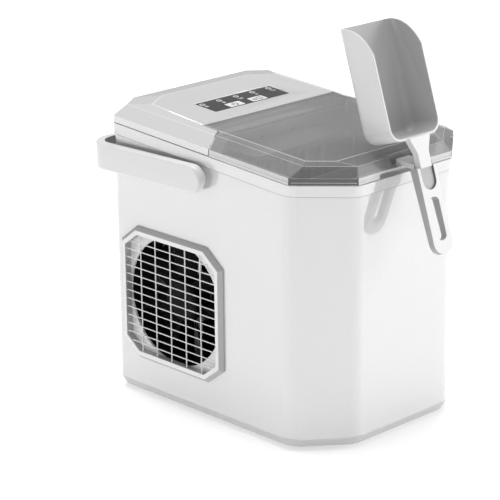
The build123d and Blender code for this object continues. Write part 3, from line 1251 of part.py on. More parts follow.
def main():
    os.makedirs("parts", exist_ok=True)
    save("base_pan", base_pan())
    save("rubber_feet", Compound([foot(sx * FOOT_X, sy * FOOT_Y) for sx in (-1, 1) for sy in (-1, 1)]))
    save("body_shell", body_shell())
    save("top_rim", top_rim())
    save("rear_cover", rear_cover())
    save("control_film", control_film())
    save("power_button", button(BUTTON_XS[0]))
    save("select_button", button(BUTTON_XS[1]))
    save("led_lenses", led_lenses())
    save("control_board", control_board())
    save("lid", lid())
    save("lid_hinge_pins", lid_hinge_pins())
    save("handle", handle())
    save("handle_pivots", handle_pivots())
    save("vent_frame", vent_frame())
    save("vent_grid", vent_grid())
    save("fan_shroud", fan_shroud())
    save("fan_duct", fan_duct())
    save("fan_rotor", fan_rotor())
    save("fan_motor", fan_motor())
    save("fan_bracket", fan_bracket())
    save("condenser", condenser())
    save("compressor", compressor())
    save("compressor_grommets", grommets())
    save("filter_drier", filter_drier())
    save("hot_gas_valve", valve_block())
    save("discharge_pipe", discharge_pipe())
    save("liquid_pipe", liquid_pipe())
    save("suction_pipe", suction_pipe())
    save("inner_tub", inner_tub())
    save("insulation_wall", insulation_wall())
    save("ice_basket", ice_basket())
    save("freezer_bracket", freezer_bracket())
    save("evaporator", evaporator())
    save("water_tray", water_tray())
    save("tray_motor", tray_motor())
    save("ice_sensors", ice_sensors())
    save("water_pump", water_pump())
    save("pump_intake", pump_intake())
    save("pump_hose", pump_hose())
    save("drain_spout", drain_spout())
    save("drain_plug", drain_plug())
    save("power_inlet", power_inlet())
    save("power_board", power_board())
    save("scoop_holder", holder())
    save("scoop", scoop())


main()
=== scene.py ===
# %% [markdown]
# # Countertop ice maker
# This lesson dresses a finished CAD model. The frame gives every moulding, pin and pipe in its real place,
# in metres, with the front of the machine towards -Y and the fan grille towards -X. Blender adds what CAD
# leaves out: softened edges, finishes, printed signs, screws and light.

# %% Load the frame
import json
import math

import bmesh
import bpy
from mathutils import Euler, Matrix, Vector


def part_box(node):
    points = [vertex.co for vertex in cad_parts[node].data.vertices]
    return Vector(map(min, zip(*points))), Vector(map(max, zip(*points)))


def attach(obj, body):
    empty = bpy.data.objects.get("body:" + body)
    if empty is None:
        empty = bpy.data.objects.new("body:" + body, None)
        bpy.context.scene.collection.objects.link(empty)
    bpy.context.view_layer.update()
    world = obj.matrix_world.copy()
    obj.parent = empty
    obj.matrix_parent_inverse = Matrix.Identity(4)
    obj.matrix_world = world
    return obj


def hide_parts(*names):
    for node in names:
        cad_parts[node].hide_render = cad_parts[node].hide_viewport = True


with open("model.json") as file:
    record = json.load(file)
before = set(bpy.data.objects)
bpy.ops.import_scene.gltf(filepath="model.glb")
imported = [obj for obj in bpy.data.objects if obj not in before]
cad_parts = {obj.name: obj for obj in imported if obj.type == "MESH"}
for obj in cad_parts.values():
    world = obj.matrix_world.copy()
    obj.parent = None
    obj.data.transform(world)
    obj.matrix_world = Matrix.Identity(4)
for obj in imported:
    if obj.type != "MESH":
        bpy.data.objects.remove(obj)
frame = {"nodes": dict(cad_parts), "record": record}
MM = 0.001
nodes = frame["nodes"]
slot_of = {row["node"]: row["material_slot"] for row in frame["record"]["subparts"]}
body_of = {node: body for body, members in frame["record"]["behaviour"]["bodies"].items() for node in members}
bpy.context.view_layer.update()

# %% [markdown]
# The camera comes first, because everything else is judged through it. Its place was found by matching the
# straight edges of the body to the picture. A long lens far away keeps the upright edges almost parallel.

# %% Camera
CAMERA_PLACE = (-1.43198, -1.41742, 0.81268)
CAMERA_TURN = (71.6664, 0.5497, -44.3034)
CAMERA_LENS = 159.24
CAMERA_SENSOR = 36.0
camera_data = bpy.data.cameras.new("studio_camera")
camera_data.sensor_width = CAMERA_SENSOR
camera_data.lens = CAMERA_LENS
camera = bpy.data.objects.new("studio_camera", camera_data)
camera.location = CAMERA_PLACE
camera.rotation_euler = Euler([math.radians(angle) for angle in CAMERA_TURN], "XYZ")
bpy.context.collection.objects.link(camera)
bpy.context.scene.camera = camera
print("camera at", CAMERA_PLACE)

# %% [markdown]
# White goods are photographed on white, so the form is told by soft differences in grey. A bright sky of
# even light lifts every side, and three large soft lamps make the front a little brighter than the grille
# side and the chamfer between them a little darker than both. The floor glows far from the machine and less
# under it, so it burns out to white, is mirrored in the glossy walls, and still keeps a soft shadow where
# the base stands.

# %% Floor, sky and lamps
FLOOR_HALF = 9.0
FLOOR_GLOW_NEAR = 0.32
FLOOR_GLOW_FAR = 0.42
FLOOR_GLOW_REACH = 0.7
SKY_STRENGTH = 0.385
LAMPS = {
    # name: place in m, width in m, power in W
    "front_lamp": ((2.7, -2.1, 1.2), 2.3, 39.0),
    "side_lamp": ((-2.4, 2.4, 1.6), 2.0, 11.5),
    "top_lamp": ((0.2, 0.5, 3.2), 2.4, 78.0),
}
AIM = Vector((0.0, 0.0, 0.15))


def object_from(bm, name):
    """Turn a bmesh into a linked object at the origin."""
    mesh = bpy.data.meshes.new(name)
    bm.to_mesh(mesh)
    bm.free()
    made = bpy.data.objects.new(name, mesh)
    bpy.context.collection.objects.link(made)
    return made


floor_form = bmesh.new()
bmesh.ops.create_grid(floor_form, x_segments=2, y_segments=2, size=FLOOR_HALF)
floor = object_from(floor_form, "studio_floor")

sky = bpy.data.worlds.new("studio_sky")
sky.use_nodes = True
sky.node_tree.nodes["Background"].inputs["Color"].default_value = (1.0, 1.0, 1.0, 1.0)
sky.node_tree.nodes["Background"].inputs["Strength"].default_value = SKY_STRENGTH
bpy.context.scene.world = sky

for lamp_name, (place, size, power) in LAMPS.items():
    lamp_data = bpy.data.lights.new(lamp_name, "AREA")
    lamp_data.shape = "DISK"
    lamp_data.size = size
    lamp_data.energy = power
    lamp = bpy.data.objects.new(lamp_name, lamp_data)
    lamp.location = place
    lamp.rotation_euler = (AIM - Vector(place)).to_track_quat("-Z", "Y").to_euler()
    bpy.context.collection.objects.link(lamp)
bpy.context.scene.view_settings.view_transform = "Standard"
print("lamps", list(LAMPS))

# %% [markdown]
# Injection-moulded plastic is never one flat colour: it has faint cloudy patches of tone, and a fine grain
# that scatters its gloss. Both are used by many finishes here, so they are made once as a node group. Each
# finish places the group with its own colours and scales. Object coordinates keep the pattern fixed to the
# piece.

# %% Shared node groups
PATCH_DETAIL = 3.0
GRAIN_DETAIL = 1.0
NOISE_LOW = 0.3
NOISE_HIGH = 0.7
# a mix node has sockets for every kind of data, and these are its colours
MIX_FIRST = 6
MIX_SECOND = 7
MIX_RESULT = 2


def new_group(name, inputs, outputs):
    """An empty shader group with named sockets; returns the tree and its two end nodes."""
    tree = bpy.data.node_groups.new(name, "ShaderNodeTree")
    for label, kind, value in inputs:
        socket = tree.interface.new_socket(label, in_out="INPUT", socket_type=kind)
        socket.default_value = value
    for label, kind in outputs:
        tree.interface.new_socket(label, in_out="OUTPUT", socket_type=kind)
    return tree, tree.nodes.new("NodeGroupInput"), tree.nodes.new("NodeGroupOutput")


def noise(tree, vector, scale, detail):
    """A noise texture on a vector, with its scale taken from a socket."""
    texture = tree.nodes.new("ShaderNodeTexNoise")
    texture.inputs["Detail"].default_value = detail
    tree.links.new(vector, texture.inputs["Vector"])
    tree.links.new(scale, texture.inputs["Scale"])
    return texture.outputs["Fac"]


def blend_colours(tree, factor, first, second):
    """Mix two colour sockets."""
    mix = tree.nodes.new("ShaderNodeMix")
    mix.data_type = "RGBA"
    tree.links.new(factor, mix.inputs["Factor"])
    tree.links.new(first, mix.inputs[MIX_FIRST])
    tree.links.new(second, mix.inputs[MIX_SECOND])
    return mix.outputs[MIX_RESULT]


def spread(tree, value, low, high):
    """Stretch a noise value between two limits, which are sockets."""
    stretch = tree.nodes.new("ShaderNodeMapRange")
    stretch.inputs["From Min"].default_value = NOISE_LOW
    stretch.inputs["From Max"].default_value = NOISE_HIGH
    tree.links.new(value, stretch.inputs["Value"])
    tree.links.new(low, stretch.inputs["To Min"])
    tree.links.new(high, stretch.inputs["To Max"])
    return stretch.outputs["Result"]


def finish_group(name, stretch):
    """A surface group: two tones in patches, varied gloss, and a fine grain that stretch draws out."""
    tree, start, end = new_group(
        name,
        [("Tone", "NodeSocketColor", (0.8, 0.8, 0.8, 1.0)),
         ("Second Tone", "NodeSocketColor", (0.7, 0.7, 0.7, 1.0)),
         ("Patch Scale", "NodeSocketFloat", 14.0), ("Grain Scale", "NodeSocketFloat", 1600.0),
         ("Gloss Low", "NodeSocketFloat", 0.2), ("Gloss High", "NodeSocketFloat", 0.3)],
        [("Color", "NodeSocketColor"), ("Roughness", "NodeSocketFloat"), ("Height", "NodeSocketFloat")],
    )
    place = tree.nodes.new("ShaderNodeTexCoord").outputs["Object"]
    mapping = tree.nodes.new("ShaderNodeMapping")
    mapping.inputs["Scale"].default_value = stretch
    tree.links.new(place, mapping.inputs["Vector"])
    drawn = mapping.outputs["Vector"]
    patches = noise(tree, place, start.outputs["Patch Scale"], PATCH_DETAIL)
    grain = noise(tree, drawn, start.outputs["Grain Scale"], GRAIN_DETAIL)
    tree.links.new(blend_colours(tree, patches, start.outputs["Tone"], start.outputs["Second Tone"]),
                   end.inputs["Color"])
    tree.links.new(spread(tree, grain, start.outputs["Gloss Low"], start.outputs["Gloss High"]),
                   end.inputs["Roughness"])
    tree.links.new(grain, end.inputs["Height"])
    return tree


MOULDED = finish_group("moulded_finish", (1.0, 1.0, 1.0))
DRAWN = finish_group("drawn_metal", (0.04, 1.0, 1.0))
print("groups", [group.name for group in bpy.data.node_groups])

# %% [markdown]
# Every finish is the same recipe with its own numbers: a tone and a slightly different second tone, the
# size of the patches, how fine the grain is, how glossy, and how deep the grain stands. A table is easier
# to compare and to change than thirty blocks of node code.

# %% Finishes
FINISHES = {
    # name: group, tone, second tone (a grey or three channels), patch and grain scale, gloss, bump mm, coat
    "white_plastic": (MOULDED, (0.7, 0.7, 0.705), 0.685, 9, 2600, 0.22, 0.3, 0.004, 1.0),
    # painted highlight for the rounded creases of the rear cover
    "cover_painted_highlight": (MOULDED, 0.93, 0.91, 9, 2600, 0.15, 0.2, 0.002, 1.0),
    # painted shade line for the rim's rounded foot
    "rim_shade": (MOULDED, (0.25, 0.25, 0.255), 0.23, 9, 2600, 0.3, 0.4, 0.004, 0.0),
    # painted shade for the band round the foot, which faces down
    "base_painted_shade": (MOULDED, (0.62, 0.62, 0.625), 0.6, 9, 2600, 0.42, 0.52, 0.004, 0.0),
    "handle_plastic": (MOULDED, (0.77, 0.77, 0.775), 0.745, 12, 2200, 0.28, 0.36, 0.008, 0.2),
    # painted shade for the handle's inner faces, which look at the body
    "handle_painted_shade": (MOULDED, (0.34, 0.34, 0.345), 0.3, 12, 2200, 0.4, 0.5, 0.008, 0.0),
    "grille_plastic": (MOULDED, 0.86, 0.83, 30, 2600, 0.25, 0.33, 0.006, 0.2),
    "grille_bevel": (MOULDED, (0.45, 0.45, 0.455), 0.42, 30, 2600, 0.28, 0.36, 0.006, 0.1),
    "scoop_plastic": (MOULDED, (0.77, 0.77, 0.775), 0.74, 16, 2200, 0.24, 0.33, 0.006, 0.2),
    # painted shade for the scoop's end in the holder's pocket
    "scoop_tongue": (MOULDED, (0.56, 0.56, 0.565), 0.53, 16, 2200, 0.34, 0.44, 0.006, 0.0),
    # painted shade for the walls of the holder's pocket
    "pocket_shade": (MOULDED, 0.2, 0.17, 16, 2200, 0.4, 0.5, 0.006, 0.0),
    # painted shade for the inside of the scoop's bowl
    "scoop_inside": (MOULDED, (0.49, 0.49, 0.495), 0.46, 16, 2200, 0.34, 0.44, 0.006, 0.0),
    # painted shade for the sides of the holder's leg and its slot
    "leg_painted_shade": (MOULDED, (0.43, 0.43, 0.435), 0.4, 16, 2200, 0.34, 0.44, 0.006, 0.0),
    "tub_plastic": (MOULDED, (0.7, 0.71, 0.72), (0.66, 0.67, 0.68), 12, 1800, 0.25, 0.35, 0.006, 0.1),
    "film": (MOULDED, (0.062, 0.062, 0.064), 0.052, 40, 3000, 0.3, 0.4, 0.003, 0.0),
    "print_light": (MOULDED, 0.72, 0.66, 90, 3000, 0.4, 0.5, 0.002, 0.0),
    "print_dark": (MOULDED, 0.06, 0.05, 90, 3000, 0.4, 0.5, 0.002, 0.0),
    "button_plastic": (MOULDED, 0.78, 0.74, 60, 3000, 0.28, 0.38, 0.004, 0.0),
    "lens": (MOULDED, (0.3, 0.31, 0.31), (0.25, 0.26, 0.26), 200, 3000, 0.12, 0.2, 0.002, 0.4),
    # darker than real black plastic, so that it also works as painted shade deep inside the fan opening
    "black_plastic": (MOULDED, 0.005, 0.008, 25, 1500, 0.5, 0.65, 0.02, 0.0),
    "motor_plastic": (MOULDED, (0.03, 0.03, 0.033), 0.05, 25, 1500, 0.4, 0.55, 0.02, 0.0),
    "black_enamel": (MOULDED, 0.012, 0.02, 18, 900, 0.22, 0.35, 0.01, 0.3),
    "steel": (DRAWN, 0.55, (0.45, 0.45, 0.46), 20, 1500, 0.28, 0.45, 0.004, 0.0),
    # the fins' black coat is partly painted shade, which keeps the inside of the fan opening dark
    "coated_fins": (DRAWN, 0.03, 0.05, 30, 1200, 0.4, 0.6, 0.004, 0.0),
    "nickel": (DRAWN, (0.72, 0.71, 0.69), (0.62, 0.61, 0.6), 20, 1200, 0.12, 0.24, 0.002, 0.0),
    "copper": (DRAWN, (0.78, 0.36, 0.22), (0.55, 0.26, 0.17), 35, 1200, 0.22, 0.4, 0.004, 0.0),
    "circuit_board": (MOULDED, (0.02, 0.13, 0.06), (0.015, 0.1, 0.05), 60, 900, 0.3, 0.45, 0.02, 0.1),
    "foam": (MOULDED, (0.78, 0.75, 0.68), (0.62, 0.59, 0.53), 120, 700, 0.75, 0.95, 0.15, 0.0),
    "silicone": (MOULDED, (0.6, 0.6, 0.58), (0.5, 0.5, 0.48), 40, 1400, 0.35, 0.5, 0.01, 0.0),
    "foot_rubber": (MOULDED, (0.06, 0.06, 0.062), 0.09, 60, 1200, 0.6, 0.8, 0.03, 0.0),
    "floor_paper": (MOULDED, 0.93, 0.92, 2, 60, 0.5, 0.6, 0.01, 0.0),
}
METALS = {"steel", "nickel", "copper"}
COAT_ROUGHNESS = 0.03
COAT_IOR = 2.5
RELIEF_STRENGTH = 0.5
PLAIN_SHINE = 0.5
DULL_SHINE = {"black_plastic": 0.10, "coated_fins": 0.10, "motor_plastic": 0.15, "film": 0.2}


def rgba(tone):
    """The colour of a tone, which is a grey or three channels."""
    return (*tone, 1.0) if isinstance(tone, tuple) else (tone, tone, tone, 1.0)


def start_finish(name, group, values):
    """A material with colour and gloss from a surface group; returns it, its shader and the group's node."""
    material = bpy.data.materials.new(name)
    material.use_nodes = True
    tree = material.node_tree
    shader = tree.nodes["Principled BSDF"]
    surface = tree.nodes.new("ShaderNodeGroup")
    surface.node_tree = group
    for label, value in values.items():
        surface.inputs[label].default_value = value
    tree.links.new(surface.outputs["Color"], shader.inputs["Base Color"])
    tree.links.new(surface.outputs["Roughness"], shader.inputs["Roughness"])
    shader.inputs["Coat Roughness"].default_value = COAT_ROUGHNESS
    return material, shader, surface


def make_finish(name, group, tone, second, patch, grain, low, high, bump, coat):
    """One material from a row of the table."""
    values = {"Tone": rgba(tone), "Second Tone": rgba(second), "Patch Scale": patch,
              "Grain Scale": grain, "Gloss Low": low, "Gloss High": high}
    material, shader, surface = start_finish(name, group, values)
    shader.inputs["Metallic"].default_value = float(name in METALS)
    shader.inputs["Coat Weight"].default_value = coat
    shader.inputs["Coat IOR"].default_value = COAT_IOR
    shader.inputs["Specular IOR Level"].default_value = DULL_SHINE.get(name, PLAIN_SHINE)
    tree = material.node_tree
    relief = tree.nodes.new("ShaderNodeBump")
    relief.inputs["Strength"].default_value = RELIEF_STRENGTH
    relief.inputs["Distance"].default_value = bump * MM
    tree.links.new(surface.outputs["Height"], relief.inputs["Height"])
    tree.links.new(relief.outputs["Normal"], shader.inputs["Normal"])
    return material


finishes = {name: make_finish(name, *row) for name, row in FINISHES.items()}
print("finishes", len(finishes))

# %% [markdown]
# The paper that the machine stands on only needs one thing more: its glow. A spherical gradient on Object
# coordinates is brightest at the middle of the floor, under the machine, and a map range turns it round.

# %% Floor paper
floor.data.materials.append(finishes["floor_paper"])
paper_tree = finishes["floor_paper"].node_tree
paper_shader = paper_tree.nodes["Principled BSDF"]
paper_place = paper_tree.nodes.new("ShaderNodeTexCoord")
paper_scale = paper_tree.nodes.new("ShaderNodeMapping")
paper_scale.inputs["Scale"].default_value = [1.0 / FLOOR_GLOW_REACH] * 3
paper_ball = paper_tree.nodes.new("ShaderNodeTexGradient")
paper_ball.gradient_type = "SPHERICAL"
paper_glow = paper_tree.nodes.new("ShaderNodeMapRange")
paper_glow.inputs["To Min"].default_value = FLOOR_GLOW_FAR
paper_glow.inputs["To Max"].default_value = FLOOR_GLOW_NEAR
paper_tree.links.new(paper_place.outputs["Object"], paper_scale.inputs["Vector"])
paper_tree.links.new(paper_scale.outputs["Vector"], paper_ball.inputs["Vector"])
paper_tree.links.new(paper_ball.outputs["Fac"], paper_glow.inputs["Value"])
paper_tree.links.new(paper_glow.outputs["Result"], paper_shader.inputs["Emission Color"])
paper_shader.inputs["Emission Strength"].default_value = 1.0
print("floor glow", FLOOR_GLOW_NEAR, "to", FLOOR_GLOW_FAR)

# %% [markdown]
# The lid is smoke-tinted clear plastic. Light passes through it twice, in and out, and an exact glass would
# need many samples to light what lies below. A part-clear surface gives the same grey veil with clean
# shadows: it is see-through from straight above and closes up at a glancing angle, which the layer weight
# drives.

# %% Smoke-clear lid
SMOKES = {
    # name: tone, alpha seen straight on, alpha at a glancing angle
    "smoke_clear": ((0.345, 0.345, 0.35), 0.36, 0.56),
    # painted highlight for the lid's rounded creases and its upright lip
    "smoke_painted_highlight": ((0.9, 0.9, 0.9), 0.7, 0.9),
    # painted dark reflection for the lip at the chamfers and on the right, and a thin dark line painted above
    # the lip
    "smoke_painted_dark": ((0.05, 0.05, 0.05), 0.74, 0.86),
    # painted light for the lid's flanks, which are lit from the side
    "smoke_painted_light": ((0.42, 0.42, 0.425), 0.44, 0.62),
    # painted shade for the lid's slopes above the front chamfers
    "smoke_painted_shade": ((0.24, 0.24, 0.245), 0.44, 0.62),
}
SMOKE_SURFACE = {"Patch Scale": 10.0, "Grain Scale": 2200.0, "Gloss Low": 0.06, "Gloss High": 0.10}
SMOKE_SECOND = 0.9
SMOKE_BLEND = 0.35
SMOKE_COAT = 0.6


def make_smoke(name, tone, straight, glancing):
    """A part-clear tinted plastic that closes up at a glancing angle."""
    second = tuple(channel * SMOKE_SECOND for channel in tone)
    values = {"Tone": rgba(tone), "Second Tone": rgba(second), **SMOKE_SURFACE}
    material, shader, _ = start_finish(name, MOULDED, values)
    shader.inputs["Coat Weight"].default_value = SMOKE_COAT
    tree = material.node_tree
    facing = tree.nodes.new("ShaderNodeLayerWeight")
    facing.inputs["Blend"].default_value = SMOKE_BLEND
    veil = tree.nodes.new("ShaderNodeMapRange")
    veil.inputs["To Min"].default_value = straight
    veil.inputs["To Max"].default_value = glancing
    tree.links.new(facing.outputs["Facing"], veil.inputs["Value"])
    tree.links.new(veil.outputs["Result"], shader.inputs["Alpha"])
    return material


finishes.update({name: make_smoke(name, *row) for name, row in SMOKES.items()})
print("smoke tints", list(SMOKES))

# %% [markdown]
# Every node of the frame already carries a slot name from its record. Giving each node the finish of its
# slot dresses the whole machine at once, the hidden pipes and motors too.

# %% Dress the nodes
for node_name, node_object in nodes.items():
    for place in node_object.material_slots:
        place.material = finishes[slot_of[node_name]]
print("dressed nodes", len(nodes))

# %% [markdown]
# CAD edges are knife sharp, but a moulding's are not: each one has a small radius that catches a line of
# light. For the mouldings in view, the node's mesh is copied, its loose triangles are merged and joined into
# flat faces, and a bevel rounds the edges. An angle limit alone would miss the shallow creases of the cover
# and the lid, and would nibble at the small facets of curved corners. So each edge gets a bevel weight:
# outward edges that are sharp, and creases between two broad faces.

# %% Which edges to round
PLAIN = (30.0, 28.0, None)
SOFT_EDGES = {
    # node: radius in mm, smallest crease and sharp angle in degrees, finish of the rounded edge
    # the base's rounded edges get the painted shade of its band
    "base_pan": (1.2, 30.0, 28.0, "base_painted_shade"), "body_shell": (1.2, *PLAIN),
    # the rim's rounded foot gets a painted shade line
    "top_rim": (0.6, 30.0, 28.0, "rim_shade"),
    # the rounded creases of the cover and the lid get a painted highlight
    "rear_cover": (0.8, 4.0, 28.0, "cover_painted_highlight"), "lid": (0.45, 4.0, 28.0, "smoke_painted_highlight"),
    "handle": (0.3, 75.0, 75.0, None), "handle_pivots": (0.5, *PLAIN),
    "vent_frame": (0.5, *PLAIN), "vent_grid": (0.12, 60.0, 28.0, None),
    "scoop_holder": (0.4, 20.0, 28.0, None), "scoop": (0.5, *PLAIN),
    "power_button": (0.35, *PLAIN), "select_button": (0.35, *PLAIN),
    "drain_plug": (0.5, *PLAIN), "drain_spout": (0.5, *PLAIN),
    "power_inlet": (0.4, *PLAIN), "rubber_feet": (0.5, *PLAIN),
    "ice_basket": (0.5, *PLAIN), "water_tray": (0.5, *PLAIN),
}
FACETED = {"rear_cover", "lid"}
LOW_EDGES_ONLY = {"top_rim"}
BROAD_FACE = 25.0 * MM * MM
SHORTEST = 2.5
STEEP = 0.12
SECOND_CREASE = 0.32
# how much of a face's normal points along an axis: next to none, some, half, most, nearly all, all
UPRIGHT = 0.2
SIDEWAYS = 0.3
TOWARDS = 0.5
TOP_FACE = 0.9
LEVEL = 0.97
SAME_WAY = 0.999


def face_area(face):
    """The area of a face of a bmesh or of a mesh."""
    return face.calc_area() if isinstance(face, bmesh.types.BMFace) else face.area


def largest_face(faces, picks):
    """The largest of the faces that a test picks."""
    return max((face for face in faces if picks(face)), key=face_area)


def on_top(face):
    """True for a face that looks up."""
    return face.normal.z > TOP_FACE


def crease_weight(edge, plateau):
    """How round a crease of the crown is: full at the plateau, less below it, none on the corner hips."""
    first, second = edge.link_faces
    if max(first.normal.y, second.normal.y) > TOWARDS:
        return 0.0
    along = (edge.verts[1].co - edge.verts[0].co).normalized()
    if abs(along.dot(plateau)) > STEEP:
        return 0.0
    at_plateau = max(first.normal.dot(plateau), second.normal.dot(plateau)) > SAME_WAY
    return 1.0 if at_plateau else SECOND_CREASE


print("mouldings to soften", len(SOFT_EDGES))

# %% [markdown]
# The upright corners beside the two front chamfers are rounder in the picture than on the solids. The points
# of those corner rounds are slid outwards along the walls, from the small circle onto a larger one that
# touches the same two walls. The rim keeps its crisp top edge, under the lid's lip, and is rounded at its
# foot.

# %% Rounder front corners
ROUNDED_CORNERS = {
    # node: lowest and highest level in mm above the node's foot, and mm outside the body's walls at each
    "body_shell": (0.0, 400.0, 0.0, 0.0), "base_pan": (0.0, 7.7, -7.0, 0.0), "top_rim": (0.0, 5.0, 1.2, 1.2),
}
SMALL_CORNER = 9.0 * MM
LARGE_CORNER = 21.0 * MM
# slack for points on a corner round: mm of level, cosine of the angle, m of radius
LEVEL_SLACK = 0.1
ARC_SLACK = 0.002
CORNER_SLACK = 1.0 * MM


def find_front_walls():
    """The pairs of walls that meet beside the front chamfers; a wall is its plan normal and its distance."""
    low, high = (Vector(corner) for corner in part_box("body_shell"))
    chamfer = largest_face(nodes["body_shell"].data.polygons, lambda face: max(face.normal.xy) < -SIDEWAYS)
    front = (Vector((0.0, -1.0)), -low.y)
    pairs = []
    for side, reach in ((-1.0, -low.x), (1.0, high.x)):
        normal = Vector((-side * chamfer.normal.x, chamfer.normal.y)).normalized()
        slope = (normal, chamfer.center.xy.dot(chamfer.normal.xy.normalized()))
        pairs += [((Vector((side, 0.0)), reach), slope), (slope, front)]
    return pairs


def circle_middle(first, second, inset):
    """The plan point that is a given distance inside two walls."""
    (one, reach_one), (two, reach_two) = first, second
    area = one.x * two.y - one.y * two.x
    reach_one -= inset
    reach_two -= inset
    return Vector((reach_one * two.y - reach_two * one.y, reach_two * one.x - reach_one * two.x)) / area


def widen_corners(form, node):
    """Slide the points of the front corner rounds onto larger circles; returns how many moved."""
    low, high, outside_low, outside_high = ROUNDED_CORNERS[node]
    up = largest_face(form.faces, on_top).normal.copy()
    foot = min(up.dot(vert.co) for vert in form.verts)
    places = {}
    for vert in form.verts:
        level = (up.dot(vert.co) - foot) / MM
        if level < low - LEVEL_SLACK or level > high + LEVEL_SLACK:
            continue
        outside = (outside_low + (outside_high - outside_low) * (level - low) / (high - low)) * MM
        for first, second in front_walls:
            arm = vert.co.xy - circle_middle(first, second, SMALL_CORNER - outside)
            half_cosine = (first[0] + second[0]).length / 2
            bisector = (first[0] + second[0]).normalized()
            on_circle = abs(arm.length - SMALL_CORNER) < CORNER_SLACK
            if on_circle and arm.normalized().dot(bisector) > half_cosine - ARC_SLACK:
                middle = circle_middle(first, second, LARGE_CORNER - outside)
                places[vert] = middle + arm.normalized() * (arm.length + LARGE_CORNER - SMALL_CORNER)
    for vert, place in places.items():
        vert.co.xy = place
    return len(places)


front_walls = find_front_walls()
print("pairs of front walls", len(front_walls))

# %% [markdown]
# The sloping band round the foot is steeper in the picture too, with no line in it. So the base's stepped
# outside is replaced by one slope, which starts a little up the body's wall, and the seam between the two
# lies flush in it. The two edges along the band are rounded fully, and the seam is not.

# %% Foot band
FOOT_LIFT = 0.4 * MM
BODY_SPREAD = 0.3 * MM
BASE_INSET = 0.3 * MM
BASE_SPREAD = 3.6 * MM
BASE_BAND = 7.7 * MM
BAND_TOP = {"body_shell": 1.0 * MM, "base_pan": 9.0 * MM}
BAND_SLACK = 0.05 * MM
LEDGE_LEVEL = 1.0 * MM
SEAM_LEVEL = 0.1 * MM
FOOT_LEVEL = 0.5 * MM
PLAIN_EDGE = 0.3


def in_band(face):
    """True for a face that slopes inwards below, as the band round the foot does."""
    return -LEVEL < face.normal.z < -UPRIGHT


def smooth_base(form):
    """Replace the base's stepped outside by one slope between its outlines; returns the faces replaced."""
    foot = min(vert.co.z for vert in form.verts)
    stepped = []
    for face in form.faces:
        level = face.calc_center_median().z - foot
        faces_out = abs(face.normal.z) < LEVEL and face.normal.xy.dot(face.calc_center_median().xy) > 0.0
        ledge = face.normal.z < -LEVEL and level > LEDGE_LEVEL
        if BAND_SLACK < level < BASE_BAND - BAND_SLACK and (faces_out or ledge):
            stepped.append(face)
    bmesh.ops.delete(form, geom=stepped, context="FACES")
    open_edges = [edge for edge in form.edges if len(edge.link_faces) == 1]
    bmesh.ops.bridge_loops(form, edges=open_edges)
    bmesh.ops.recalc_face_normals(form, faces=form.faces[:])
    return len(stepped)


def shape_foot(form, node):
    """Make the band steeper, and flush at the seam; returns how many points moved."""
    form.normal_update()
    foot = min(vert.co.z for vert in form.verts)
    shifts = {}
    for vert in form.verts:
        level = vert.co.z - foot
        slopes = [face.normal.xy.normalized() for face in vert.link_faces if in_band(face)]
        if not slopes or level > BAND_TOP[node]:
            continue
        outwards = sum(slopes, Vector((0.0, 0.0))).normalized().to_3d()
        if node == "body_shell":
            shifts[vert] = Vector((0.0, 0.0, FOOT_LIFT)) if level > SEAM_LEVEL else outwards * BODY_SPREAD
        else:
            share = level / BASE_BAND
            shifts[vert] = outwards * (BASE_SPREAD * (1.0 - share) - BASE_INSET * share)
    for vert, shift in shifts.items():
        vert.co += shift
    form.normal_update()
    return len(shifts)


def foot_weight(edge, node, foot):
    """How round an edge of the body or base is: full along the band, none at the seam, little elsewhere."""
    sloping = sum(in_band(face) for face in edge.link_faces)
    levels = [vert.co.z - foot for vert in edge.verts]
    if sloping == 0 or max(levels) > BAND_TOP[node] + FOOT_LIFT:
        return PLAIN_EDGE
    at_seam = max(levels) < FOOT_LEVEL if node == "body_shell" else max(levels) > FOOT_LEVEL
    return 0.0 if at_seam or sloping == 2 else 1.0


print("band", BASE_BAND / MM, "mm high, spread by", BASE_SPREAD / MM, "mm")

# %% [markdown]
# Now every moulding is made in two steps: a merged form with a weight on each edge, and an object whose
# bevel follows the weights. The piece rides with its node's body and stands in that node's place. Where the
# corners were widened, the shading is weighted by area, so the flat walls stay even up to their rounds.

# %% Soften the mouldings
MERGE_DISTANCE = 0.002 * MM
FLAT_ANGLE = 0.6
EDGE_STEPS = 3


def soft_form(node, radius, crease, sharp_angle):
    """A merged bmesh of a CAD node with a bevel weight on the edges to round and the rest shaded crisply."""
    form = bmesh.new()
    form.from_mesh(nodes[node].data)
    bmesh.ops.remove_doubles(form, verts=form.verts, dist=MERGE_DISTANCE)
    if node == "base_pan":
        print("stepped faces", smooth_base(form))
    if node in ROUNDED_CORNERS:
        print(node, "corner points", widen_corners(form, node))
    if node in BAND_TOP:
        print(node, "band points", shape_foot(form, node))
    bmesh.ops.dissolve_limit(form, angle_limit=math.radians(FLAT_ANGLE), verts=form.verts, edges=form.edges)
    weight = form.edges.layers.float.new("bevel_weight_edge")
    plateau = largest_face(form.faces, on_top).normal.copy()
    sharp_limit = math.radians(sharp_angle)
    foot = min(vert.co.z for vert in form.verts)
    for edge in form.edges:
        if len(edge.link_faces) != 2:
            continue
        angle = edge.calc_face_angle(0.0)
        broad = min(face.calc_area() for face in edge.link_faces) > BROAD_FACE
        sharp = angle > sharp_limit and edge.calc_length() > SHORTEST * radius * MM
        if edge.is_convex and (sharp or (broad and angle > math.radians(crease))):
            edge[weight] = crease_weight(edge, plateau) if node in FACETED else 1.0
            if node in LOW_EDGES_ONLY and min(face.normal.z for face in edge.link_faces) > -TOWARDS:
                edge[weight] = 0.0
        edge.smooth = angle < (math.radians(crease) if node in FACETED else sharp_limit)
        if node in BAND_TOP:
            roundness = foot_weight(edge, node, foot)
            edge[weight] = 1.0 if roundness == 1.0 else edge[weight] * roundness
            edge.smooth = edge.smooth and roundness < 1.0
    for face in form.faces:
        face.smooth = True
    return form


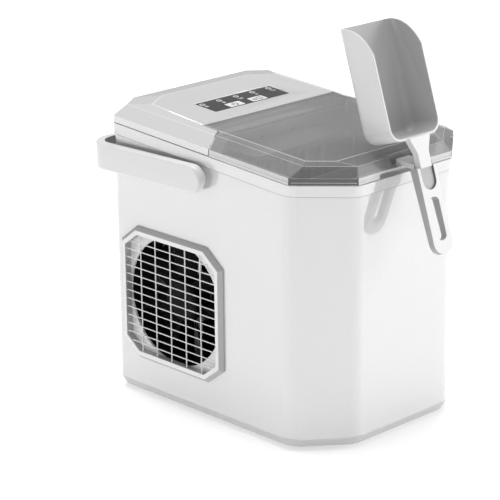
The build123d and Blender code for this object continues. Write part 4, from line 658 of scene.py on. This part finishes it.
def soften(node, radius, crease, sharp_angle, edge_finish):
    """A copy of a CAD node with small rounds on its edges, standing for that node."""
    piece = object_from(soft_form(node, radius, crease, sharp_angle), node + "_moulding")
    piece.data.materials.append(finishes[slot_of[node]])
    bevel = piece.modifiers.new("edge_round", "BEVEL")
    bevel.width = radius * MM
    bevel.segments = EDGE_STEPS
    bevel.limit_method = "WEIGHT"
    bevel.use_clamp_overlap = False
    bevel.harden_normals = node not in ROUNDED_CORNERS
    if node in ROUNDED_CORNERS:
        even_walls = piece.modifiers.new("even_walls", "WEIGHTED_NORMAL")
        even_walls.mode = "FACE_AREA"
        even_walls.keep_sharp = True
    if edge_finish:
        piece.data.materials.append(finishes[edge_finish])
        bevel.material = 1
    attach(piece, body_of[node])
    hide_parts(node)
    return piece


mouldings = {node: soften(node, *row) for node, row in SOFT_EDGES.items()}
print("softened", len(mouldings))

# %% [markdown]
# On several mouldings some faces are painted darker as shade, and are a little rougher too: the handle's
# inner faces, the inside of the scoop's bowl, the scoop's end in the holder's pocket, the sides of the
# holder's leg, and the pocket's walls. The faces for a second tone are picked by where they are and where
# they look, so each pick is a small test on a face.

# %% Faces of the scoop, holder and handle
BOWL_REACH = 75.0 * MM
HANDLE_MIDDLE_Y = 60.0 * MM
HANDLE_TOWARDS = 0.35
TONGUE_BELOW = 6.0 * MM
POCKET_REACH = 9.6 * MM
POCKET_DEPTH = 0.5 * MM
OPPOSITE = 0.99
openings = frame["record"]["physics"]["openings"]
bowl_boxes = [row["box_m"] for row in openings if row["name"].startswith("scoop")]
bowl_middle = sum((Vector(corner) for box in bowl_boxes for corner in box), Vector()) / (2 * len(bowl_boxes))
holder_low, holder_high = (Vector(corner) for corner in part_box("scoop_holder"))
leg_x = (holder_low.x + holder_high.x) / 2
tongue_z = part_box("scoop")[0][2]
leg_mesh = mouldings["scoop_holder"].data
leg_front = largest_face(leg_mesh.polygons, lambda face: face.normal.y < -TOWARDS).normal.copy()
leg_back = largest_face(leg_mesh.polygons, lambda face: face.normal.dot(leg_front) < -OPPOSITE)
back_depth = leg_back.center.dot(leg_front)


def on_bowl_inside(face):
    """True for a face that looks towards the middle of the scoop's bowl."""
    towards = bowl_middle - face.center
    return towards.length < BOWL_REACH and face.normal.dot(towards) > 0.0


def on_tongue(face):
    """True for a face on the front of the scoop's end, inside the holder."""
    return face.center.z < holder_high.z - TONGUE_BELOW and face.normal.dot(leg_front) > TOWARDS


def in_pocket(face):
    """True for a wall of the holder's pocket, beside or under the scoop's end."""
    near = abs(face.center.x - leg_x) < POCKET_REACH and face.center.z > tongue_z - MM
    before_back = face.center.dot(leg_front) > back_depth + POCKET_DEPTH
    return near and before_back and abs(face.normal.dot(leg_front)) < TOWARDS


def on_leg_side(face):
    """True for a side of the holder's leg or of its slot."""
    below = face.center.z < tongue_z + TONGUE_BELOW
    return below and abs(face.normal.dot(leg_front)) < TOWARDS


def on_handle_inside(face):
    """True for a face of the handle that looks at the body."""
    towards = Vector((-face.center.x, HANDLE_MIDDLE_Y - face.center.y, 0.0)).normalized()
    return face.normal.dot(towards) > HANDLE_TOWARDS


print("leg normal", [round(part, 3) for part in leg_front], "back face at", round(back_depth / MM, 1), "mm")

# %% [markdown]
# The clear lid is painted lighter on its flanks, for the light from the side, and deeper above the front
# chamfers, for shade. Its upright lip gets a painted highlight, with a painted dark reflection at the
# chamfers and on the right side, and a thin dark line is painted just above it. The slopes are cut once along
# that line, so the strip has faces of its own.

# %% Faces of the lid
DARK_LINE_HEIGHT = 1.3 * MM
DARK_LINE_SLACK = 0.1 * MM
LIP_DEPTH = 0.5 * MM
LEANS = 0.2
STRAIGHT = 0.15
lid_mesh = mouldings["lid"].data


def on_lid_lip(face):
    """True for an upright face of the lid that no other part of the lid stands outside of."""
    if abs(face.normal.z) > UPRIGHT or face.normal.y > TOWARDS:
        return False
    reach = max(face.normal.dot(vert.co) for vert in lid_mesh.vertices)
    return face.normal.dot(face.center) > reach - LIP_DEPTH


def on_lip_chamfer(face):
    """True for the lid's lip on a front chamfer or the right side, which gets a painted dark reflection."""
    chamfer = min(abs(face.normal.x), abs(face.normal.y)) > SIDEWAYS
    return on_lid_lip(face) and (chamfer or face.normal.x > TOWARDS)


def on_lid_slope(face):
    """True for a face of the lid between upright and level."""
    return UPRIGHT < face.normal.z < LEVEL


def on_lid_flank(face):
    """True for a slope on the left or the right of the lid, which is lit from the side."""
    return on_lid_slope(face) and abs(face.normal.x) > LEANS and abs(face.normal.y) < STRAIGHT


def on_lid_corner(face):
    """True for a slope of the lid above a front chamfer, which looks away from the lamps."""
    return on_lid_slope(face) and abs(face.normal.x) > LEANS and face.normal.y < -LEANS


def on_lid_dark_line(face):
    """True for the low strip of the lid's slopes, just above its lip."""
    levels = [lid_up.dot(lid_mesh.vertices[index].co) - lip_level for index in face.vertices]
    return on_lid_slope(face) and min(levels) > -DARK_LINE_SLACK and max(levels) < DARK_LINE_HEIGHT + DARK_LINE_SLACK


lip_faces = [face for face in lid_mesh.polygons if on_lid_lip(face)]
lid_up = largest_face(lid_mesh.polygons, on_top).normal.copy()
lip_level = max(lid_up.dot(lid_mesh.vertices[index].co) for face in lip_faces for index in face.vertices)
lid_form = bmesh.new()
lid_form.from_mesh(lid_mesh)
bmesh.ops.bisect_plane(lid_form, geom=lid_form.verts[:] + lid_form.edges[:] + lid_form.faces[:],
                       plane_co=lid_up * (lip_level + DARK_LINE_HEIGHT), plane_no=lid_up)
lid_form.to_mesh(lid_mesh)
lid_form.free()
print("lip faces", len(lip_faces), "lid faces", len(lid_mesh.polygons))

# %% [markdown]
# The sloping band round the foot is in the shade of the machine, and the sloping sides of the grille frame
# are greyer than its face. With the tests above, all of these are rows of one table. A row gives its faces a
# second material on the same piece.

# %% Second tones
BAND_REACH = 5.0 * MM
foot_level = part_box("body_shell")[0][2] + BAND_REACH
SECOND_TONES = (
    # what, node, finish, test; a later row goes over an earlier one
    # the lid's rows below paint light on the flanks, shade above the chamfers, a highlight and a dark
    # reflection on the lip, and a dark line above it
    ("flank faces", "lid", "smoke_painted_light", on_lid_flank),
    ("corner slopes", "lid", "smoke_painted_shade", on_lid_corner),
    ("lip faces", "lid", "smoke_painted_highlight", on_lid_lip),
    ("lip chamfer faces", "lid", "smoke_painted_dark", on_lip_chamfer),
    ("dark line faces", "lid", "smoke_painted_dark", on_lid_dark_line),
    # painted shade for the band round the foot
    ("base faces", "base_pan", "base_painted_shade", lambda face: face.normal.z < -UPRIGHT),
    ("band faces", "body_shell", "base_painted_shade", lambda face: in_band(face) and face.center.z < foot_level),
    ("frame faces", "vent_frame", "grille_bevel", lambda face: -LEVEL < face.normal.x < SIDEWAYS),
    # the scoop, holder and handle rows below are painted shade
    ("tongue faces", "scoop", "scoop_tongue", on_tongue),
    ("leg side faces", "scoop_holder", "leg_painted_shade", on_leg_side),
    ("pocket faces", "scoop_holder", "pocket_shade", in_pocket),
    ("handle faces", "handle", "handle_painted_shade", on_handle_inside),
    ("bowl faces", "scoop", "scoop_inside", on_bowl_inside),
)


def retone(node, finish, picks):
    """Give a second finish to the faces of a moulding that a test picks; returns how many."""
    mesh = mouldings[node].data
    mesh.materials.append(finishes[finish])
    chosen = [face for face in mesh.polygons if picks(face)]
    for face in chosen:
        face.material_index = len(mesh.materials) - 1
    return len(chosen)


for what, node, finish, picks in SECOND_TONES:
    print(what, retone(node, finish, picks))

# %% [markdown]
# The bars of the grille are thin blades in the picture. Its moulding is slimmed on the copy: each corner of
# a bar keeps its place along the bar, and moves towards the middle line of the row or column that it
# belongs to.

# %% Slim the grille bars
GRILLE_ROWS = 14
GRILLE_COLUMNS = 6
BAR_HALF = 0.38 * MM
BAR_DEPTH = 1.2 * MM
BAR_REACH = 0.9 * MM
grille_low, grille_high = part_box("vent_grid")


def to_bar(value, low, high, count):
    """The value moved to the slim bar's side if it lies on a bar, else as it is."""
    pitch = (high - low) / count
    middle = low + round((value - low) / pitch) * pitch
    if abs(value - middle) > BAR_REACH or not low + pitch / 2 < middle < high - pitch / 2:
        return value
    return middle + math.copysign(BAR_HALF, value - middle)


for vert in mouldings["vent_grid"].data.vertices:
    vert.co.x = min(vert.co.x, grille_low[0] + BAR_DEPTH)
    vert.co.y = to_bar(vert.co.y, grille_low[1], grille_high[1], GRILLE_COLUMNS)
    vert.co.z = to_bar(vert.co.z, grille_low[2], grille_high[2], GRILLE_ROWS)
print("bars slimmed to", 2 * BAR_HALF / MM, "mm")

# %% [markdown]
# The holder's leg tapers towards its free end, and its long slot is wide. On the copy, the points of the
# back face move forward, more the lower they are, and the points of the slot move apart.

# %% Shape the holder's leg
LEG_TAPER = 3.6 * MM
SLOT_HALF = 4.5 * MM
SLOT_WIDEN = 1.36
SLOT_SLACK = 0.05 * MM
BACK_SLACK = 0.3 * MM
for point in [vert.co for vert in leg_mesh.vertices]:
    drop = (holder_high.z - point.z) / (holder_high.z - holder_low.z)
    if abs(point.x - leg_x) < SLOT_HALF + SLOT_SLACK and point.z < tongue_z - MM:
        point.x = leg_x + (point.x - leg_x) * SLOT_WIDEN
    if abs(point.dot(leg_front) - back_depth) < BACK_SLACK:
        point += leg_front * LEG_TAPER * drop
print("leg tapered by", LEG_TAPER / MM, "mm, slot", round(2 * SLOT_HALF * SLOT_WIDEN / MM, 1), "mm wide")

# %% [markdown]
# The printed signs of the control panel lie on a tilted film. The film's own top face gives the tilt, so a
# sign is drawn flat in millimetres and then laid there with one matrix. Strokes are thin raised forms, not
# a texture: they stay sharp in a close view and are part of the mesh.

# %% Panel place
film_top = largest_face(nodes["control_film"].data.polygons, on_top)
panel_up = film_top.normal.normalized()
panel_across = Vector((1.0, 0.0, 0.0))
panel_back = panel_up.cross(panel_across)
film_low, film_high = (Vector(corner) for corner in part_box("control_film"))
film_middle = (film_low + film_high) / 2
panel_middle = film_middle + panel_up * (film_top.center - film_middle).dot(panel_up)
PANEL = Matrix.Translation(panel_middle) @ Matrix((panel_across, panel_back, panel_up)).transposed().to_4x4()
print("panel tilt", round(math.degrees(panel_up.angle(Vector((0.0, 0.0, 1.0)))), 2))

# %% [markdown]
# Two strokes draw every sign but the drop, which is a disc. A bar is a small block with a place, a size and
# a turn. An arc is a little upright face that is spun about the middle of the sign; a whole turn spins only
# the edges, so nothing closes it inside.

# %% Strokes
INK = 0.07
ARC_STEPS = 28
STROKE = 0.6
DROP_SIDES = 20
DROP_POINT = 0.55
FROST_TURNS = (30.0, 90.0, 150.0)


def bar(form, x, y, width, height, turn=0.0):
    """A flat printed bar, in mm."""
    place = Matrix.Translation((x * MM, y * MM, INK * MM / 2)) @ Matrix.Rotation(math.radians(turn), 4, "Z")
    size = Matrix.Diagonal((width * MM, height * MM, INK * MM, 1.0))
    bmesh.ops.create_cube(form, size=1.0, matrix=place @ size)


def arc(form, x, y, radius, width, start=0.0, sweep=360.0, rise=INK):
    """A flat printed ring, or a part of one."""
    turn = Matrix.Rotation(math.radians(start), 3, "Z")
    inner, outer = radius - width / 2, radius + width / 2
    section = ((inner, 0.0), (outer, 0.0), (outer, rise), (inner, rise))
    middle = Vector((x, y, 0.0))
    verts = [form.verts.new((middle + turn @ Vector((out, 0.0, up))) * MM) for out, up in section]
    whole = sweep >= 360.0
    edges = [form.edges.new((verts[index - 1], verts[index])) for index in range(len(verts))]
    faces = [] if whole else [form.faces.new(verts)]
    bmesh.ops.spin(form, geom=verts + edges + faces, cent=middle * MM, axis=(0.0, 0.0, 1.0),
                   angle=math.radians(sweep), steps=ARC_STEPS, use_merge=whole)


def box_sign(form, x, y, size, width):
    """The outline of a square, from four bars."""
    for side in (-1, 1):
        bar(form, x + side * (size - width) / 2, y, width, size)
        bar(form, x, y + side * (size - width) / 2, size - 2 * width, width)


def drop_sign(form, x, y, size):
    """A drop of water: a round disc with one corner drawn up to a point."""
    disc = bmesh.ops.create_circle(form, cap_ends=True, segments=DROP_SIDES, radius=size * MM / 2,
                                   matrix=Matrix.Translation((x * MM, y * MM, 0.0)))["verts"]
    top = max(disc, key=lambda vert: vert.co.y)
    top.co.y += DROP_POINT * size * MM
    face = disc[0].link_faces[0]
    lifted = bmesh.ops.extrude_face_region(form, geom=[face])["geom"]
    raised = [item for item in lifted if isinstance(item, bmesh.types.BMVert)]
    bmesh.ops.translate(form, verts=raised, vec=(0.0, 0.0, INK * MM))


def frost_sign(form, x, y, size):
    """A star of three bars."""
    for turn in FROST_TURNS:
        bar(form, x, y, size, STROKE, turn)


def basket_sign(form, x, y, size):
    """A full basket: a tray in outline with two cubes above its floor."""
    bar(form, x, y - size / 2, size, STROKE)
    for side in (-1, 1):
        bar(form, x + side * size / 2, y, STROKE, size)
        bar(form, x + side * size / 5, y - size / 8, size / 4, size / 4)


print("strokes: bar, arc, box, drop, frost, basket")

# %% [markdown]
# The film carries a light ring round each lamp and a small sign below it: frost while it runs, a drop for
# water, a full basket, and a small and a large cube. The two keys carry a power sign and a pair of cubes in
# dark print. Each sign rides on the piece it is printed on, so a key's sign goes down with the key.

# %% Panel signs
LAMP_X = (-44.0, -22.0, 0.0, 22.0, 44.0)
LAMP_Y = 10.0
LEGEND_Y = 3.6
KEY_Y = -6.5
POWER_X = -17.0
SELECT_X = 13.0
RING_RADIUS = 2.5
RING_WIDTH = 0.9
RING_RISE = 0.12
FROST_SIZE = 4.6
DROP_SIZE = 3.2
DROP_LOWER = 0.5
BASKET_SIZE = 4.0
CUBE_SIZES = (2.8, 4.4)
CUBE_LINE = 0.65
POWER_RADIUS = 3.2
POWER_LOWER = 0.4
POWER_GAP = 70.0
POWER_STEM = 4.0
STEM_RAISE = 2.0
POWER_LINE = 1.0
# across, back and size of each cube on the select key
KEY_CUBES = ((-4.2, -0.9, 4.0), (2.8, 0.0, 5.8))
KEY_LINE = 0.9


def print_sign(form, name, finish, node):
    """Lay a drawn sign on the panel and let it ride with the node it is printed on."""
    bmesh.ops.recalc_face_normals(form, faces=form.faces)
    bmesh.ops.transform(form, matrix=PANEL, verts=form.verts)
    piece = object_from(form, name)
    piece.data.materials.append(finishes[finish])
    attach(piece, body_of[node])
    return piece


rings = bmesh.new()
for lamp_x in LAMP_X:
    arc(rings, lamp_x, LAMP_Y, RING_RADIUS, RING_WIDTH, rise=RING_RISE)
print_sign(rings, "lamp_rings", "print_light", "control_film")

legends = bmesh.new()
frost_sign(legends, LAMP_X[0], LEGEND_Y, FROST_SIZE)
drop_sign(legends, LAMP_X[1], LEGEND_Y - DROP_LOWER, DROP_SIZE)
basket_sign(legends, LAMP_X[2], LEGEND_Y, BASKET_SIZE)
for cube_x, cube_size in zip(LAMP_X[3:], CUBE_SIZES):
    box_sign(legends, cube_x, LEGEND_Y, cube_size, CUBE_LINE)
print_sign(legends, "lamp_legends", "print_light", "control_film")

power_sign = bmesh.new()
arc(power_sign, POWER_X, KEY_Y - POWER_LOWER, POWER_RADIUS, POWER_LINE,
    start=90.0 + POWER_GAP / 2, sweep=360.0 - POWER_GAP)
bar(power_sign, POWER_X, KEY_Y + STEM_RAISE, POWER_LINE, POWER_STEM)
print_sign(power_sign, "power_sign", "print_dark", "power_button")

select_sign = bmesh.new()
for across, back, cube_size in KEY_CUBES:
    box_sign(select_sign, SELECT_X + across, KEY_Y + back, cube_size, KEY_LINE)
print_sign(select_sign, "select_sign", "print_dark", "select_button")
print("signs on the panel and its two keys")

# %% [markdown]
# Small fasteners hold the rear wall, the inlet, the base and the feet. A pan head with a cross recess is a
# circle drawn up into a low dome; a plus outline is bridged to the dome's flat top and sunk. One screw is
# made at the origin, and a copy is stamped at each place.

# %% Screw form
HEAD_SIDES = 24
HEAD_STEPS = ((0.30, 1.0), (0.25, 0.90), (0.10, 0.74))
PLUS_ARM = 0.52
PLUS_HALF = 0.13
PLUS_DEPTH = 0.35


def grow_loop(form, loop, rise, factor):
    """Extrude a loop of edges up and scale it about the screw's axis; returns the new loop."""
    made = bmesh.ops.extrude_edge_only(form, edges=loop)["geom"]
    verts = [item for item in made if isinstance(item, bmesh.types.BMVert)]
    bmesh.ops.scale(form, verts=verts, vec=(factor, factor, 1.0))
    bmesh.ops.translate(form, verts=verts, vec=(0.0, 0.0, rise * MM))
    return [item for item in made if isinstance(item, bmesh.types.BMEdge) and set(item.verts) <= set(verts)]


def screw_form(radius):
    """A pan-head screw with a cross recess, standing on the origin with its axis on Z."""
    form = bmesh.new()
    foot = bmesh.ops.create_circle(form, cap_ends=True, segments=HEAD_SIDES, radius=radius * MM)["verts"]
    loop = list({edge for vert in foot for edge in vert.link_edges})
    height = 0.0
    last = 1.0
    for rise, size in HEAD_STEPS:
        loop = grow_loop(form, loop, rise * radius, size / last)
        height += rise * radius
        last = size
    arm, half = PLUS_ARM * radius, PLUS_HALF * radius
    corners = []
    for quarter in range(4):
        turn = Matrix.Rotation(quarter * math.pi / 2, 3, "Z")
        corners += [turn @ Vector((x, y, height)) for x, y in ((arm, -half), (arm, half), (half, half))]
    plus = [form.verts.new(corner * MM) for corner in corners]
    plus_loop = [form.edges.new((plus[index - 1], plus[index])) for index in range(len(plus))]
    bmesh.ops.bridge_loops(form, edges=loop + plus_loop)
    floor_loop = grow_loop(form, plus_loop, -PLUS_DEPTH * radius, 1.0)
    bmesh.ops.contextual_create(form, geom=floor_loop)
    bmesh.ops.recalc_face_normals(form, faces=form.faces)
    return form


def stamp(seed, places, name):
    """One object with a copy of a small form at each place; the form is used up."""
    seed_mesh = bpy.data.meshes.new(name + "_seed")
    seed.to_mesh(seed_mesh)
    seed.free()
    whole = bmesh.new()
    for place in places:
        known = set(whole.verts)
        whole.from_mesh(seed_mesh)
        fresh = [vert for vert in whole.verts if vert not in known]
        bmesh.ops.transform(whole, matrix=place, verts=fresh)
    bpy.data.meshes.remove(seed_mesh)
    return object_from(whole, name)


print("screw head steps", HEAD_STEPS)

# %% [markdown]
# The places come from the nodes: the rear wall is the far side of the body shell, the underside is the
# bottom of the base pan, and every foot has a sunk middle.

# %% Screws
REAR_SCREWS = ((-82.0, 75.0), (82.0, 75.0), (-82.0, 212.0), (82.0, 212.0), (0.0, 24.0))
BASE_SCREWS = ((-60.0, 112.0), (60.0, 112.0), (-60.0, -108.0), (60.0, -108.0))
REAR_HEAD = 3.2
INLET_HEAD = 1.9
BASE_HEAD = 3.0
FOOT_HEAD = 1.6
INLET_EAR = 3.0
FOOT_SINK = 1.5
FOOT_RADIUS = 9.0
LOOK_BACK = Matrix.Rotation(math.radians(-90.0), 4, "X")
LOOK_DOWN = Matrix.Rotation(math.radians(180.0), 4, "X")
rear_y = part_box("body_shell")[1][1] / MM
base_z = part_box("base_pan")[0][2] / MM
inlet_low, inlet_high = (Vector(corner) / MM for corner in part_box("power_inlet"))
foot_high = Vector(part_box("rubber_feet")[1]) / MM


def screws(name, radius, node, places):
    """A set of steel screws on one node; each place is a point in mm and a turn."""
    matrices = [Matrix.Translation(Vector(point) * MM) @ turn for point, turn in places]
    piece = stamp(screw_form(radius), matrices, name)
    piece.data.materials.append(finishes["steel"])
    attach(piece, body_of[node])
    return piece


inlet_z = (inlet_low.z + inlet_high.z) / 2
inlet_ears = (inlet_low.x + INLET_EAR, inlet_high.x - INLET_EAR)
foot_x = foot_high.x - FOOT_RADIUS
foot_y = foot_high.y - FOOT_RADIUS
screws("rear_screws", REAR_HEAD, "body_shell", [((x, rear_y, z), LOOK_BACK) for x, z in REAR_SCREWS])
screws("inlet_screws", INLET_HEAD, "power_inlet",
       [((x, inlet_high.y, inlet_z), LOOK_BACK) for x in inlet_ears])
screws("base_screws", BASE_HEAD, "base_pan", [((x, y, base_z), LOOK_DOWN) for x, y in BASE_SCREWS])
screws("foot_screws", FOOT_HEAD, "rubber_feet",
       [((x, y, FOOT_SINK), LOOK_DOWN) for x in (-foot_x, foot_x) for y in (-foot_y, foot_y)])
print("screws in the rear, inlet, base and feet")

# %% [markdown]
# Wet fingers turn the drain plug, so its cap has grip ribs. One small bar with rounded edges is made at the
# top of the cap and spun round it as separate copies.

# %% Drain plug ribs
RIB_COUNT = 24
RIB_LENGTH = 2.0
RIB_WIDTH = 1.2
RIB_HEIGHT = 0.8
RIB_GAP = 0.2
RIB_ROUND = 0.25
CAP_THICK = 3.0
GRIP_HEIGHT = 6.0
plug_low, plug_high = (Vector(corner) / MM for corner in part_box("drain_plug"))
cap_radius = (plug_high.z - plug_low.z) / 2
rib_x = plug_high.x - GRIP_HEIGHT - CAP_THICK + RIB_LENGTH / 2 + RIB_GAP
cap_middle = Vector((rib_x, (plug_low.y + plug_high.y) / 2, (plug_low.z + plug_high.z) / 2))
ribs = bmesh.new()
rib_place = Matrix.Translation((cap_middle + Vector((0.0, 0.0, cap_radius))) * MM)
rib_size = Matrix.Diagonal((RIB_LENGTH * MM, RIB_WIDTH * MM, RIB_HEIGHT * MM, 1.0))
bmesh.ops.create_cube(ribs, size=1.0, matrix=rib_place @ rib_size)
bmesh.ops.bevel(ribs, geom=ribs.edges[:], offset=RIB_ROUND * MM, offset_type="OFFSET", affect="EDGES",
                segments=2, profile=0.5, material=-1)
bmesh.ops.spin(ribs, geom=ribs.verts[:] + ribs.edges[:] + ribs.faces[:], cent=cap_middle * MM,
               axis=(1.0, 0.0, 0.0), angle=math.radians(360.0 - 360.0 / RIB_COUNT), steps=RIB_COUNT - 1,
               use_duplicate=True)
bmesh.ops.recalc_face_normals(ribs, faces=ribs.faces)
plug_ribs = object_from(ribs, "drain_plug_ribs")
plug_ribs.data.materials.append(finishes[slot_of["drain_plug"]])
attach(plug_ribs, body_of["drain_plug"])
print("ribs", RIB_COUNT)
